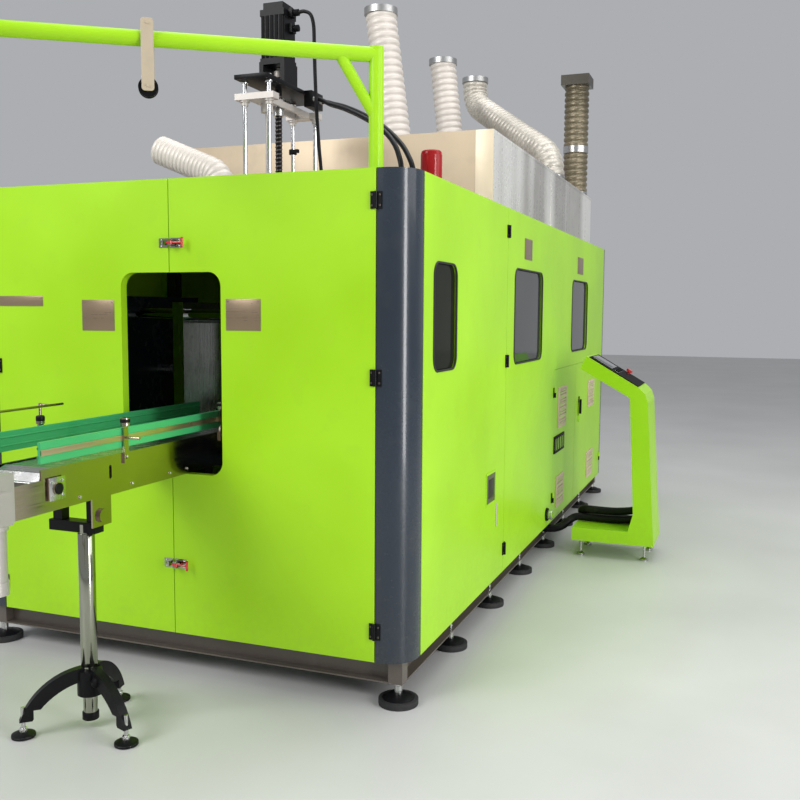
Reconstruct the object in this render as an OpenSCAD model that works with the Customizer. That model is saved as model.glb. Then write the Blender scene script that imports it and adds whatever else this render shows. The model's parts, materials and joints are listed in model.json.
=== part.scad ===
// Linear stretch-blow moulding machine in a sheet-metal cabinet, with its out-feed conveyor,
// roof jib, exhaust ducts and operator console.
// Origin on the floor under the middle of the cabinet. X runs along the front face, the front
// faces -Y, the windowed side faces +X.

/* [Cabinet] */
// Width of the cabinet over its side panels
cab_w = 2140; // [2080:10:2300]
// Length of the cabinet over its end faces
cab_l = 4880; // [4840:10:5200]
// Height of the lower edge of the panels above the floor
panel_z = 180; // [170:1:200]
// Height of the roof above the floor
roof_z = 2100; // [2060:5:2200]
// Side of the square that holds a rounded corner post
corner_size = 140; // [130:1:150]
// Flat strip beside the rounded part of a corner post
corner_flat = 25; // [24:1:30]
// Thickness of the sheet metal
sheet = 3; // [2:0.5:4]
// Depth of the frame behind the outer faces
frame_inset = 40; // [38:1:45]
// Width of the slit between doors and panels
door_gap = 4; // [3:0.5:6]

/* [Outlet] */
// Width of the outlet cut in the front doors
outlet_w = 490; // [470:5:520]
// Height of the outlet
outlet_h = 842; // [820:2:860]
// Height of the lower edge of the outlet above the floor
outlet_z = 876; // [860:1:880]
// Corner radius of the outlet and of the windows
opening_r = 60; // [40:1:80]

/* [Side windows] */
// Width of the window in the side door
door_window_w = 310; // [280:5:330]
// Height of the window in the side door
door_window_h = 450; // [400:5:500]
// Width of the middle window
mid_window_w = 700; // [600:10:740]
// Height of the middle window
mid_window_h = 520; // [440:10:540]
// Width of the rear window
rear_window_w = 640; // [560:10:700]
// Thickness of a window pane
pane_t = 5; // [4:0.5:8]

/* [Base and feet] */
// Height of the underside of the base frame above the floor
base_z = 85; // [80:1:95]
// Width of a base channel
channel_w = 50; // [44:1:60]
// Wall of a base channel
channel_t = 6; // [5:0.5:8]
// Width of the square frame tubes
tube_w = 60; // [50:2:60]
// Wall of the frame tubes
tube_t = 4; // [3:0.5:6]
// Diameter of a levelling pad
pad_d = 160; // [140:2:170]
// Height of a levelling pad
pad_h = 25; // [20:1:30]
// Diameter of a levelling stud
stud_d = 20; // [16:1:24]

/* [Hinges and latches] */
// Height of a hinge
hinge_h = 65; // [60:1:80]
// Diameter of a hinge pin
pin_d = 8; // [6:0.5:9]
// Radial clearance of pins and shafts in their holes
running_gap = 0.05; // [0.03:0.01:0.08]
// Height of the upper latch above the floor
latch_upper_z = 1838; // [1800:5:1900]
// Height of the lower latch above the floor
latch_lower_z = 486; // [450:5:520]

/* [Conveyor] */
// Width of the conveyor over its side plates
conv_w = 224; // [210:2:236]
// Height of the carrying surface
belt_z = 1030; // [1010:1:1035]
// Height of the side plates
conv_plate_h = 145; // [142:1:150]
// Distance between the bottle guides
guide_gap = 300; // [280:2:304]
// Height of the guide rails
guide_h = 72; // [60:1:80]
// Distance of the end shaft in front of the cabinet
conv_reach = 830; // [800:5:900]
// Diameter of the conveyor shafts
shaft_d = 20; // [16:1:24]

/* [Jib] */
// Diameter of the jib tubes
jib_d = 58; // [54:1:64]
// Height of the arm's centre line above the floor
jib_z = 2550; // [2500:5:2600]
// Length of the arm from the post
jib_len = 1600; // [1500:10:1700]
// Angle of the arm from the front face, outwards
jib_swing_deg = 34; // [20:1:50]
// Distance of the trolley from the post
trolley_at = 856; // [500:1:1200]

/* [Stretch unit] */
// Distance of the columns from the middle
column_x = 66; // [60:1:80]
// Diameter of the columns
column_d = 22; // [18:1:26]
// Height of the underside of the top plate above the floor
top_plate_z = 2660; // [2620:5:2700]
// Diameter of the ball screw
screw_d = 32; // [20:1:36]
// Side of the servo motor
servo_w = 140; // [130:2:150]

/* [Clamp unit] */
// Distance from the middle to a platen's inner face, mould open
platen_open = 300; // [290:5:320]
// Thickness of a mould half
mould_t = 130; // [110:5:140]
// Diameter of the tie bars
tie_d = 60; // [50:2:70]

/* [Exhaust] */
// Width of the hood
hood_w = 1900; // [1800:10:1960]
// Height of the hood above the roof
hood_h = 430; // [400:5:460]
// Outer diameter of the ducts
duct_d = 200; // [180:2:204]
// Height of the duct ends above the floor
duct_top = 3500; // [3400:10:3600]

/* [Console] */
// Distance of the console's near side from the middle of the cabinet
console_y = 150; // [100:5:200]
// Width of the console between its sides
console_w = 400; // [360:5:440]

/* [Hidden] */
$fn = 48;
fine = 96;
seat = 0.3;
eps = 1;

lime = "yellowgreen";
slate = "darkslategray";
steel = "silver";
dark = [0.15, 0.15, 0.16];

half_w = cab_w / 2;
half_l = cab_l / 2;
front_y = -half_l;
frame_x = half_w - frame_inset;
frame_y = half_l - frame_inset;
pan_t = frame_inset - seat;
panel_h = roof_z - panel_z;
beam_h = panel_z - base_z;
door_x = half_w - corner_size;
door_w = door_x - door_gap;
door_y = half_l - corner_size;

// Places along the windowed side, from the front of the cabinet
side_hinge_y = front_y + 1456;
panel_hinge_front_y = front_y + 2730;
panel_seam_y = front_y + 3516;
panel_hinge_rear_y = front_y + 4680;
panel_door_z = panel_z + 10;
panel_door_h = 1000;
door_window_y = front_y + 418;
mid_window_y = front_y + 1962;
rear_window_y = front_y + 3620;
window_z = 1540;
hatch_y = front_y + 1182;
hatch_z = 680;

leaf_w = 23;
leaf_t = 5;
knuckle_r = 7;
pin_off = 8;
hinge_z = [305, 1307, 1979];

foot_x = frame_x - channel_w / 2;
foot_end_y = frame_y - channel_w / 2;
foot_count = 8;

// Conveyor
conv_in_y = front_y + 545;
conv_end_y = front_y - conv_reach;
conv_z = belt_z + 5 - conv_plate_h;
conv_plate_t = 6;
chain_r = 65;
chain_t = 8;
chain_w = conv_w - 34;
shaft_z = belt_z - chain_r;
tail_y = conv_in_y - 70;
guide_z = belt_z + 24;
guide_t = 12;
near_guide_x = 96;
far_guide_x = near_guide_x - guide_gap;
near_bracket_y = front_y - 460;
far_bracket_y = front_y - 490;
inner_bracket_y = front_y + 200;
stand_y = front_y - 550;
drive_box_y = front_y - 1180;

// Stretch unit
rod_front_y = front_y + 740;
rod_rear_y = front_y + 1240;
screw_y = front_y + 960;
hose_bracket_y = front_y + 1070;
nozzle_y = front_y + 840;
carriage_z = top_plate_z - 90;
deck_t = 25;
deck_z = roof_z - 4 - tube_w - seat - deck_t;
shaft_top_z = top_plate_z + 80;
nut_window = 32;
head_half_w = 88;

// Clamp unit
clamp_y = nozzle_y;
bed_z = 820;
bed_t = 40;
end_plate_x = 620;
end_plate_t = 50;
clamp_half_y = 320;
tie_y = 250;
tie_z = [960, 1540];
mould_z = 1000;
mould_h = 500;
mould_half_y = 160;
platen_t = 60;
piston_z = 1250;

// Hood and ducts
hood_y0 = front_y + 1580;
hood_seam_y = front_y + 3090;
hood_y1 = front_y + 4720;
hood_z = roof_z + hood_h;
duct_bore = duct_d - 20;
hood_seam = 0.2;
collar_h = 40;
duct_a = [[100, -60], [-45, -10]];
duct_b = [[60, 1280], [-44, 1265]];
duct_c = [[838, 1150], [30, 1900]];
duct_d_at = [838, 2133];

// Jib
mast_x = half_w - 202;
mast_y = front_y + 140;
spindle_d = 46;
trolley_w = 45;
roller_r = 17;
pulley_r = 36;
pulley_drop = 175;

// Console outline, left to right
console_foot_z = 45;
console_x0 = half_w + 164;
console_x1 = half_w + 675;

// A block between two corners
module block(a, b) {
  translate(a) cube(b - a);
}

// A flat outline stood upright: its x along X, its y along Z, its thickness along +Y
module wall(t) {
  translate([0, t, 0]) rotate([90, 0, 0]) linear_extrude(t) children();
}

// A rounded rectangle about the origin
module rounded(w, h, r) {
  square([w - 2 * r, h], center = true);
  square([w, h - 2 * r], center = true);
  for (x = [-1, 1], y = [-1, 1]) translate([x * (w / 2 - r), y * (h / 2 - r)]) circle(r);
}

// A folded sheet panel, face at y = 0, with an optional flanged opening:
// the first child is the opening, the second is the outside of its flange
module pan(w, h) {
  difference() {
    wall(pan_t) square([w, h]);
    translate([0, sheet, 0]) wall(pan_t) difference() {
      translate([sheet, sheet]) square([w - 2 * sheet, h - 2 * sheet]);
      if ($children > 1) children(1);
    }
    if ($children > 0) translate([0, -eps, 0]) wall(pan_t + 2 * eps) children(0);
  }
}

module cyl_x(p, r, l) {
  translate(p) rotate([0, 90, 0]) cylinder(r = r, h = l);
}

module cyl_y(p, r, l) {
  translate(p) rotate([-90, 0, 0]) cylinder(r = r, h = l);
}

module cyl_z(p, r, l) {
  translate(p) cylinder(r = r, h = l);
}

// A square tube standing on the origin, centred
module square_tube(l) {
  linear_extrude(l) difference() {
    square(tube_w, center = true);
    square(tube_w - 2 * tube_t, center = true);
  }
}

// Copies a child to both sides
module both_sides() {
  children();
  mirror([1, 0, 0]) children();
}

// Channel section, open towards +x
module channel_section(h) {
  square([channel_t, h]);
  square([channel_w, channel_t]);
  translate([0, h - channel_t]) square([channel_w, channel_t]);
}

foot_ys = [for (i = [0 : foot_count - 1]) -foot_end_y + i * 2 * foot_end_y / (foot_count - 1)];

module base_frame() {
  corner = 60;
  side_l = 2 * (frame_y - corner - seat);
  cross_l = 2 * (frame_x - corner - seat);
  color(slate) {
    both_sides() difference() {
      translate([frame_x - channel_w, side_l / 2, base_z]) rotate([90, 0, 0])
        linear_extrude(side_l) channel_section(beam_h);
      for (y = foot_ys)
        cyl_z([foot_x, y, base_z - eps], stud_d / 2 + running_gap, channel_t + 2 * eps);
    }
    for (s = [-1, 1]) translate([-s * cross_l / 2, s * (frame_y - channel_w), base_z])
      rotate([90, 0, s * 90]) linear_extrude(cross_l) channel_section(beam_h);
    for (sx = [-1, 1], sy = [-1, 1]) difference() {
      translate([sx * (frame_x - corner / 2), sy * (frame_y - corner / 2), base_z + beam_h / 2])
        cube([corner, corner, beam_h], center = true);
      cyl_z([sx * foot_x, sy * foot_end_y, base_z - eps], stud_d / 2 + running_gap, 40);
    }
    for (y = [-1 : 1]) translate([0, y * 1170, base_z + beam_h / 2])
      cube([2 * (frame_x - channel_w - seat), 80, beam_h - 0.1], center = true);
  }
}

module foot_pads() {
  color(dark) for (x = [-1, 1], y = foot_ys) translate([x * foot_x, y, 0]) difference() {
    cylinder(d = pad_d, h = pad_h, $fn = fine);
    translate([0, 0, pad_h - 6]) cylinder(d = pad_d - 30, h = 7);
  }
}

// Steel cup, nut and threaded stud of a cabinet foot, from the pad's recess up
module cabinet_stud() {
  cup_r = pad_d / 2 - 15 - seat;
  seat_z = base_z - pad_h + 6;
  rotate_extrude() polygon([[0, 0], [cup_r, 0], [cup_r, 9], [30, 24], [16, 24],
    [16, seat_z - 14], [stud_d / 2 + 6, seat_z - 14], [stud_d / 2 + 6, seat_z - 0.1],
    [stud_d / 2, seat_z - 0.1], [stud_d / 2, seat_z + channel_t + 20],
    [0, seat_z + channel_t + 20]]);
}

module levelling_studs() {
  color(steel) {
    for (x = [-1, 1], y = foot_ys) translate([x * foot_x, y, pad_h - 6]) cabinet_stud();
    for (a = arm_turns) translate([0, stand_y, 0]) rotate([0, 0, a]) translate([leg_r, 0, 0])
      rotate_extrude() polygon([[0, 0], [42, 0], [42, 12], [14, 22], [14, 30], [7.9, 34],
        [7.9, 112], [0, 112]]);
    for (p = console_pads) translate([p[0], p[1], 0]) rotate_extrude() polygon([[0, 0], [26, 0],
      [26, 12], [12, 20], [8, 22], [8, console_base_z + 44], [0, console_base_z + 44]]);
  }
}

post_top_z = roof_z - 4 - tube_w;
post_c = frame_x - tube_w / 2;

module frame_posts() {
  color(slate) for (x = [-post_c, post_c]) {
    for (y = [-frame_y + tube_w / 2, side_hinge_y + 32, panel_hinge_front_y - 36,
        panel_hinge_rear_y - 10, frame_y - tube_w / 2])
      translate([x, y, panel_z]) square_tube(post_top_z - panel_z);
  }
}

module top_rails() {
  cross_l = 2 * (frame_x - tube_w - seat);
  color(slate) {
    for (x = [-post_c, post_c]) translate([x, -frame_y, post_top_z + tube_w / 2])
      rotate([-90, 0, 0]) square_tube(2 * frame_y);
    for (y = [-frame_y + tube_w / 2, deck_front_y + 30, deck_rear_y - 30, hood_y0 + 30,
        hood_y1 - 30, frame_y - tube_w / 2])
      translate([-cross_l / 2, y, post_top_z + tube_w / 2]) rotate([0, 90, 0])
        square_tube(cross_l);
  }
}

// Outline of a corner post in its own square, round at the corner (corner_size, 0)
module post_outline(k) {
  r = corner_size - corner_flat;
  intersection() {
    translate([k, k]) square(corner_size - 2 * k);
    union() {
      square([corner_flat, corner_size]);
      translate([0, r]) square([corner_size, corner_flat]);
      translate([corner_flat, r]) circle(r - k, $fn = fine);
    }
  }
}

module corner_post() {
  back = frame_inset - seat;
  linear_extrude(panel_h) difference() {
    post_outline(0);
    post_outline(sheet);
    translate([-eps, back]) square([sheet + 2 * eps, corner_size]);
    translate([-eps, corner_size - sheet - eps])
      square([corner_size - back + eps, sheet + 2 * eps]);
  }
  translate([0, 0, panel_h - sheet]) linear_extrude(sheet) difference() {
    post_outline(0);
    translate([-eps, back]) square([corner_size - 2 * back + back + eps, corner_size]);
  }
}

module corner_posts() {
  color("slategray") both_sides() for (s = [0, 1]) mirror([0, s, 0])
    translate([door_x, front_y, panel_z]) corner_post();
}

// The opening that the stretch unit comes up through
well_x = 330;
deck_front_y = front_y + 420;
deck_rear_y = front_y + 1370;
roof_t = 4;
vent_x = 700;

module roof_panels() {
  g = 0.5;
  color("lightgray") translate([0, 0, roof_z - roof_t]) {
    linear_extrude(roof_t) {
      translate([-frame_x, -frame_y]) square([2 * frame_x, deck_front_y + frame_y]);
      translate([-frame_x, deck_front_y + g]) square([frame_x - well_x, deck_rear_y - deck_front_y]);
      translate([well_x, deck_front_y + g]) square([frame_x - well_x, deck_rear_y - deck_front_y]);
      translate([-frame_x, deck_rear_y + 2 * g])
        square([2 * frame_x, hood_y0 + 60 - deck_rear_y]);
      translate([-frame_x, hood_y0 + 60 + 3 * g])
        square([frame_x - vent_x, hood_y1 - hood_y0 - 120]);
      translate([vent_x, hood_y0 + 60 + 3 * g])
        square([frame_x - vent_x, hood_y1 - hood_y0 - 120]);
      translate([-frame_x, hood_y1 - 60 + 4 * g])
        square([2 * frame_x, frame_y - hood_y1 + 60 - 4 * g]);
    }
    // hose glands
    for (p = hose_ends) translate([p[0], p[1], roof_t]) cylinder(d = 44, h = gland_h);
  }
}

module left_panels() {
  color(lime) {
    w1 = side_hinge_y - door_gap / 2 + door_y;
    w2 = (door_y - side_hinge_y) / 2 - door_gap;
    for (seg = [[side_hinge_y - door_gap / 2, w1 - door_gap],
        [side_hinge_y + door_gap / 2 + w2, w2], [door_y - door_gap, w2]])
      translate([-half_w, seg[0], panel_z]) rotate([0, 0, -90]) pan(seg[1], panel_h);
  }
}

inlet_w = 420;
inlet_h = 360;
inlet_z = 1640;

module rear_panel() {
  w = 2 * door_x - 2 * door_gap;
  color(lime) translate([w / 2, half_l, panel_z]) rotate([0, 0, 180]) pan(w, panel_h) {
    translate([w / 2, inlet_z - panel_z]) rounded(inlet_w, inlet_h, opening_r);
    translate([w / 2, inlet_z - panel_z])
      rounded(inlet_w + 2 * sheet, inlet_h + 2 * sheet, opening_r + sheet);
  }
}

port_y = front_y + 2566;
port_z = 262;
port_r = 20;

module right_panel() {
  y0 = side_hinge_y + door_gap / 2;
  w = door_y - door_gap - y0;
  e0 = panel_hinge_front_y - y0;
  e1 = panel_hinge_rear_y - y0;
  color(lime) difference() {
    union() {
      translate([half_w, y0, panel_z]) rotate([0, 0, 90]) pan(w, panel_h) {
        union() {
          translate([mid_window_y - y0, window_z - panel_z])
            rounded(mid_window_w, mid_window_h, opening_r);
          translate([rear_window_y - y0, window_z - panel_z])
            rounded(rear_window_w, mid_window_h - 10, opening_r);
          translate([e0, panel_door_z - panel_z]) square([e1 - e0, panel_door_h]);
        }
        union() {
          translate([mid_window_y - y0, window_z - panel_z])
            rounded(mid_window_w + 2 * sheet, mid_window_h + 2 * sheet, opening_r + sheet);
          translate([rear_window_y - y0, window_z - panel_z])
            rounded(rear_window_w + 2 * sheet, mid_window_h - 10 + 2 * sheet, opening_r + sheet);
          translate([e0 - sheet, panel_door_z - panel_z - sheet])
            square([e1 - e0 + 2 * sheet, panel_door_h + 2 * sheet]);
        }
      }
      cyl_x([half_w - 20, port_y, port_z], 42, 32);
      cyl_x([half_w - 20, port_y, port_z], 30, 62);
    }
    cyl_x([half_w - 20 - eps, port_y, port_z], port_r, 62 + 2 * eps);
  }
}

// A pane set in a flanged opening of the windowed side
module side_pane(y, w, h) {
  translate([half_w, y, window_z]) rotate([0, 0, 90]) translate([0, 10, 0]) wall(pane_t)
    rounded(w - 2 * seat, h - 2 * seat, opening_r - seat);
}

module side_windows() {
  color([0.2, 0.2, 0.25]) {
    side_pane(mid_window_y, mid_window_w, mid_window_h);
    side_pane(rear_window_y, rear_window_w, mid_window_h - 10);
  }
}

module side_door() {
  y0 = -door_y + door_gap;
  w = side_hinge_y - door_gap / 2 - y0;
  color(lime) {
    translate([half_w, y0, panel_z]) rotate([0, 0, 90]) pan(w, panel_h) {
      translate([door_window_y - y0, window_z - panel_z])
        rounded(door_window_w, door_window_h, opening_r);
      translate([door_window_y - y0, window_z - panel_z])
        rounded(door_window_w + 2 * sheet, door_window_h + 2 * sheet, opening_r + sheet);
    }
    translate([half_w - 1, hatch_y, hatch_z]) rotate([0, 90, 0]) linear_extrude(5) difference() {
      square([165, 180], center = true);
      square([145, 160], center = true);
    }
  }
}

module side_door_window() {
  color([0.2, 0.2, 0.25]) side_pane(door_window_y, door_window_w, door_window_h);
}

// Half of a lift-off hinge on a face at y = 0, its pin at the origin's x.
// The frame half carries the pin and lies towards +x; the door half lies towards -x
module frame_leaf() {
  mid = hinge_h / 2;
  block([knuckle_r + 1, -leaf_t, 0], [leaf_w, 0, hinge_h]);
  block([0, -leaf_t, 0], [knuckle_r + 2, -1, mid - 0.25]);
  cyl_z([0, -pin_off, 0], knuckle_r, mid - 0.25);
  cyl_z([0, -pin_off, 0], pin_d / 2, hinge_h - 6);
}

module door_leaf() {
  mid = hinge_h / 2;
  difference() {
    union() {
      block([-leaf_w, -leaf_t, 0], [-knuckle_r - 1, 0, hinge_h]);
      block([-knuckle_r - 2, -leaf_t, mid + 0.25], [0, -1, hinge_h]);
      cyl_z([0, -pin_off, mid + 0.25], knuckle_r, hinge_h - mid - 0.25);
    }
    cyl_z([0, -pin_off, mid - eps], pin_d / 2 + running_gap, hinge_h - mid - 4);
  }
}

// Puts a hinge half at each height of a row
module hinge_row(zs) {
  for (z = zs) translate([0, 0, z - hinge_h / 2]) children();
}

front_hinge_x = door_x - door_gap / 2;
panel_hinge_z = [panel_door_z + 150, panel_door_z + panel_door_h - 150];

module fixed_hinge_leaves() {
  color(dark) {
    both_sides() translate([front_hinge_x, front_y, 0]) hinge_row(hinge_z) frame_leaf();
    translate([half_w, side_hinge_y, 0]) rotate([0, 0, 90]) hinge_row(hinge_z) frame_leaf();
    translate([half_w, panel_hinge_rear_y, 0]) rotate([0, 0, 90])
      hinge_row(panel_hinge_z) frame_leaf();
    translate([half_w, panel_hinge_front_y, 0]) rotate([0, 0, 90]) mirror([1, 0, 0])
      hinge_row(panel_hinge_z) frame_leaf();
  }
}

module side_door_hinges() {
  color(dark) translate([half_w, side_hinge_y, 0]) rotate([0, 0, 90])
    hinge_row(hinge_z) door_leaf();
}

module right_door_hinges() {
  color(dark) translate([front_hinge_x, front_y, 0]) hinge_row(hinge_z) door_leaf();
}

module left_door_hinges() {
  color(dark) mirror([1, 0, 0]) translate([front_hinge_x, front_y, 0])
    hinge_row(hinge_z) door_leaf();
}

module front_door() {
  oz = outlet_z + outlet_h / 2 - panel_z;
  x0 = door_gap / 2;
  translate([x0, front_y, panel_z]) pan(door_x - door_gap - x0, panel_h) {
    translate([-x0, oz]) rounded(outlet_w, outlet_h, opening_r);
    translate([-x0, oz]) rounded(outlet_w + 2 * sheet, outlet_h + 2 * sheet, opening_r + sheet);
  }
}

module front_door_right() {
  color(lime) front_door();
}

module front_door_left() {
  color(lime) mirror([1, 0, 0]) front_door();
}

// Latches: the keeper sits on the left door, base and handle on the right door
latch_pivot_x = 24;
latch_pivot_y = front_y - 24;
latch_reach = 56;
latch_zs = [latch_upper_z, latch_lower_z];

module latch_keepers() {
  color(steel) for (z = latch_zs) translate([0, front_y, z]) difference() {
    union() {
      block([-46, -3, -19], [-4, 0, 19]);
      block([-16, -26, -9], [-8, -3 + eps, 9]);
    }
    cyl_y([-34, -4, 0], 5, 5);
  }
}

module latch_bases() {
  color(steel) for (z = latch_zs) translate([0, front_y, z]) {
    block([6, -3, -20], [62, 0, 20]);
    for (s = [-1, 1]) block([latch_pivot_x - 9, -33, s * 11 - 2.5],
      [latch_pivot_x + 9, -3 + eps, s * 11 + 2.5]);
    cyl_z([latch_pivot_x, -24, -15], 3, 30);
  }
}

// The handle's hub turns on the pin; a short link points to the keeper
module latch_handle(z) {
  color("firebrick") translate([latch_pivot_x, latch_pivot_y, z]) difference() {
    union() {
      cyl_z([0, 0, -8], 7, 16);
      cyl_x([4, 0, 0], 4, latch_reach - 4);
      cyl_z([latch_reach, 0, -20], 5, 40);
      block([-20, -3, -4], [-4, 3, 4]);
    }
    cyl_z([0, 0, -9], 3 + running_gap, 18);
  }
}

module latch_handle_upper() {
  latch_handle(latch_upper_z);
}

module latch_handle_lower() {
  latch_handle(latch_lower_z);
}

// Electrical doors low on the windowed side
grille = 270;
grille_zs = [355, 925];
low_grille = 205;

// A grille of slats in a frame, centred, on a face at y = 0
module slat_grille(w, h, n, upright) {
  wall_t = 8;
  translate([0, -wall_t, 0]) difference() {
    wall(wall_t) square([w, h], center = true);
    translate([0, -eps, 0]) wall(wall_t - 2 + eps) for (i = [0 : n - 1]) {
      pitch = ((upright ? w : h) - 24) / n;
      at = -(n - 1) * pitch / 2 + i * pitch;
      if (upright) translate([at, 0]) square([pitch * 0.6, h - 30], center = true);
      else translate([0, at]) square([w - 30, pitch * 0.6], center = true);
    }
  }
}

module panel_door(y0, w) {
  translate([half_w, y0, panel_door_z + door_gap / 2]) rotate([0, 0, 90])
    pan(w, panel_door_h - door_gap);
}

module panel_door_left() {
  w = panel_seam_y - panel_hinge_front_y - door_gap;
  color(lime) {
    panel_door(panel_hinge_front_y + door_gap / 2, w);
    translate([half_w, panel_hinge_front_y + 275, grille_zs[1]]) rotate([0, 0, 90])
      slat_grille(grille, grille, 9, false);
    translate([half_w, panel_hinge_front_y + 245, grille_zs[0]]) rotate([0, 0, 90])
      slat_grille(grille - 30, low_grille, 7, false);
    translate([half_w, panel_hinge_front_y + 190, 685]) rotate([0, 0, 90])
      slat_grille(330, 110, 5, true);
    translate([half_w, panel_hinge_front_y, 0]) rotate([0, 0, 90]) mirror([1, 0, 0])
      hinge_row(panel_hinge_z) door_leaf();
  }
}

handle_y = panel_seam_y + 160;
handle_z = 820;

module panel_door_right() {
  w = panel_hinge_rear_y - panel_seam_y - door_gap;
  color(lime) difference() {
    union() {
      panel_door(panel_seam_y + door_gap / 2, w);
      for (z = grille_zs) translate([half_w, panel_seam_y + 690, z]) rotate([0, 0, 90])
        slat_grille(grille, low_grille, 7, false);
      translate([half_w, panel_hinge_rear_y, 0]) rotate([0, 0, 90])
        hinge_row(panel_hinge_z) door_leaf();
      // oval cup of the handle
      translate([half_w, handle_y, handle_z]) rotate([0, 90, 0]) linear_extrude(6)
        rounded(150, 44, 21.9);
    }
    cyl_x([half_w - 5, handle_y, handle_z], 8 + running_gap, 12);
  }
}

module swing_handle() {
  color(dark) translate([half_w, handle_y, handle_z]) {
    cyl_x([-3.5, 0, 0], 8, 12);
    translate([6 + seat, 0, 0]) rotate([0, 90, 0]) linear_extrude(14) translate([-42, 0])
      rounded(110, 28, 13.9);
  }
}

// Exhaust hood, two sections of single sheets, open towards the roof
module hood_section(y0, y1, holes) {
  w = hood_w / 2;
  wall_top = hood_z - sheet - hood_seam;
  difference() {
    block([-w, y0, hood_z - sheet], [w, y1, hood_z]);
    for (p = holes) cyl_z([p[0], p[1], hood_z - sheet - eps], duct_bore / 2, sheet + 2 * eps);
  }
  block([-w, y0, roof_z], [w, y0 + sheet, wall_top]);
  block([-w, y1 - sheet, roof_z], [w, y1, wall_top]);
  both_sides() block([w - sheet, y0 + sheet + hood_seam, roof_z],
    [w, y1 - sheet - hood_seam, wall_top]);
}

module exhaust_hood() {
  color("tan") {
    hood_section(hood_y0, hood_seam_y - 0.5, [duct_a[0]]);
    hood_section(hood_seam_y, hood_y1, [duct_b[0], duct_c[0], duct_d_at]);
  }
}

module duct_ring(p, z, h) {
  translate([p[0], p[1], z]) difference() {
    cylinder(r = duct_d / 2 + 8, h = h, $fn = fine);
    translate([0, 0, -eps]) cylinder(r = duct_bore / 2, h = h + 2 * eps, $fn = fine);
  }
}

module duct_collars() {
  color(steel) {
    for (p = [duct_a[0], duct_b[0], duct_c[0], duct_d_at]) duct_ring(p, hood_z, 4);
    for (p = [duct_a[1], duct_b[1], duct_c[1]]) duct_ring(p, duct_top - collar_h, collar_h);
    translate([duct_d_at[0], duct_d_at[1], duct_top - 2 * collar_h]) difference() {
      linear_extrude(2 * collar_h) square(duct_d + 26, center = true);
      translate([0, 0, -eps]) cylinder(r = duct_bore / 2, h = 2 * collar_h + 2 * eps, $fn = fine);
    }
  }
}

// Smooth path through points: uniform cubic through four neighbours at u from 0 to 1
function spline(a, b, c, d, u) =
  0.5 * ((2 * b) + (c - a) * u + (2 * a - 5 * b + 4 * c - d) * u * u
    + (3 * b - a - 3 * c + d) * u * u * u);

function at_end(p, i) = p[max(0, min(len(p) - 1, i))];

// Points along the path, n steps in each stretch
function smooth(p, n) = [for (i = [0 : len(p) - 2], j = [0 : n - 1])
    spline(at_end(p, i - 1), p[i], p[i + 1], at_end(p, i + 2), j / n), p[len(p) - 1]];

function unit(v) = v / norm(v);

// A tube of given radii along a path, one ring at each point, closed at both ends.
// Rings stand square to the path; start and finish give the end directions
module sweep(path, radii, sides, start, finish, up) {
  n = len(path);
  rings = [for (i = [0 : n - 1])
    let (t = i == 0 ? start : i == n - 1 ? finish : unit(path[i + 1] - path[i - 1]),
      u = unit(cross(up, t)), v = cross(t, u))
    for (k = [0 : sides - 1])
      path[i] + radii[i % len(radii)] * (cos(360 * k / sides) * u + sin(360 * k / sides) * v)];
  faces = [for (i = [0 : n - 2], k = [0 : sides - 1])
    let (a = i * sides + k, b = i * sides + (k + 1) % sides)
    for (f = [[a, a + sides, b], [b, a + sides, b + sides]]) f];
  low = [for (k = [0 : sides - 1]) k];
  high = [for (k = [sides - 1 : -1 : 0]) (n - 1) * sides + k];
  polyhedron(points = rings, faces = concat(faces, [low], [high]), convexity = 6);
}

// A ribbed tube with open ends along a path: the outside's rings alternate between two radii
module ribbed_tube(path, r_out, r_in, sides, start, finish) {
  n = len(path);
  m = n * sides;
  outer = [for (i = [0 : n - 1]) r_out - (i % 2) * rib];
  pts = [for (inside = [0, 1], i = [0 : n - 1])
    let (t = i == 0 ? start : i == n - 1 ? finish : unit(path[i + 1] - path[i - 1]),
      u = unit(cross([0, 1, 0.2], t)), v = cross(t, u), r = inside ? r_in : outer[i])
    for (k = [0 : sides - 1])
      path[i] + r * (cos(360 * k / sides) * u + sin(360 * k / sides) * v)];
  skin = [for (i = [0 : n - 2], k = [0 : sides - 1])
    let (a = i * sides + k, b = i * sides + (k + 1) % sides)
    for (f = [[a, a + sides, b], [b, a + sides, b + sides],
      [m + a, m + b, m + a + sides], [m + b, m + b + sides, m + a + sides]]) f];
  e = (n - 1) * sides;
  ends = [for (k = [0 : sides - 1]) let (j = (k + 1) % sides)
    for (f = [[k, j, m + k], [j, m + j, m + k],
      [e + k, m + e + k, e + j], [e + j, m + e + k, m + e + j]]) f];
  polyhedron(points = pts, faces = concat(skin, ends), convexity = 8);
}

duct_sides = 16;
rib = 7;
ribs = 20;
duct_wall = 4;
down = [0, 0, -1];
top_up = [0, 0, 1];
duct_foot = hood_z + 4;
duct_end = duct_top - collar_h;

// A straight ribbed duct, open at both ends
module straight_duct(l) {
  p = l / ribs;
  r = duct_d / 2;
  outline = [for (i = [0 : ribs - 1]) each [[r - rib, i * p], [r, (i + 0.5) * p]]];
  rotate_extrude($fn = 32) polygon(concat([[r - rib - duct_wall, 0]], outline,
    [[r - rib, l], [r - rib - duct_wall, l]]));
}

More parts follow.
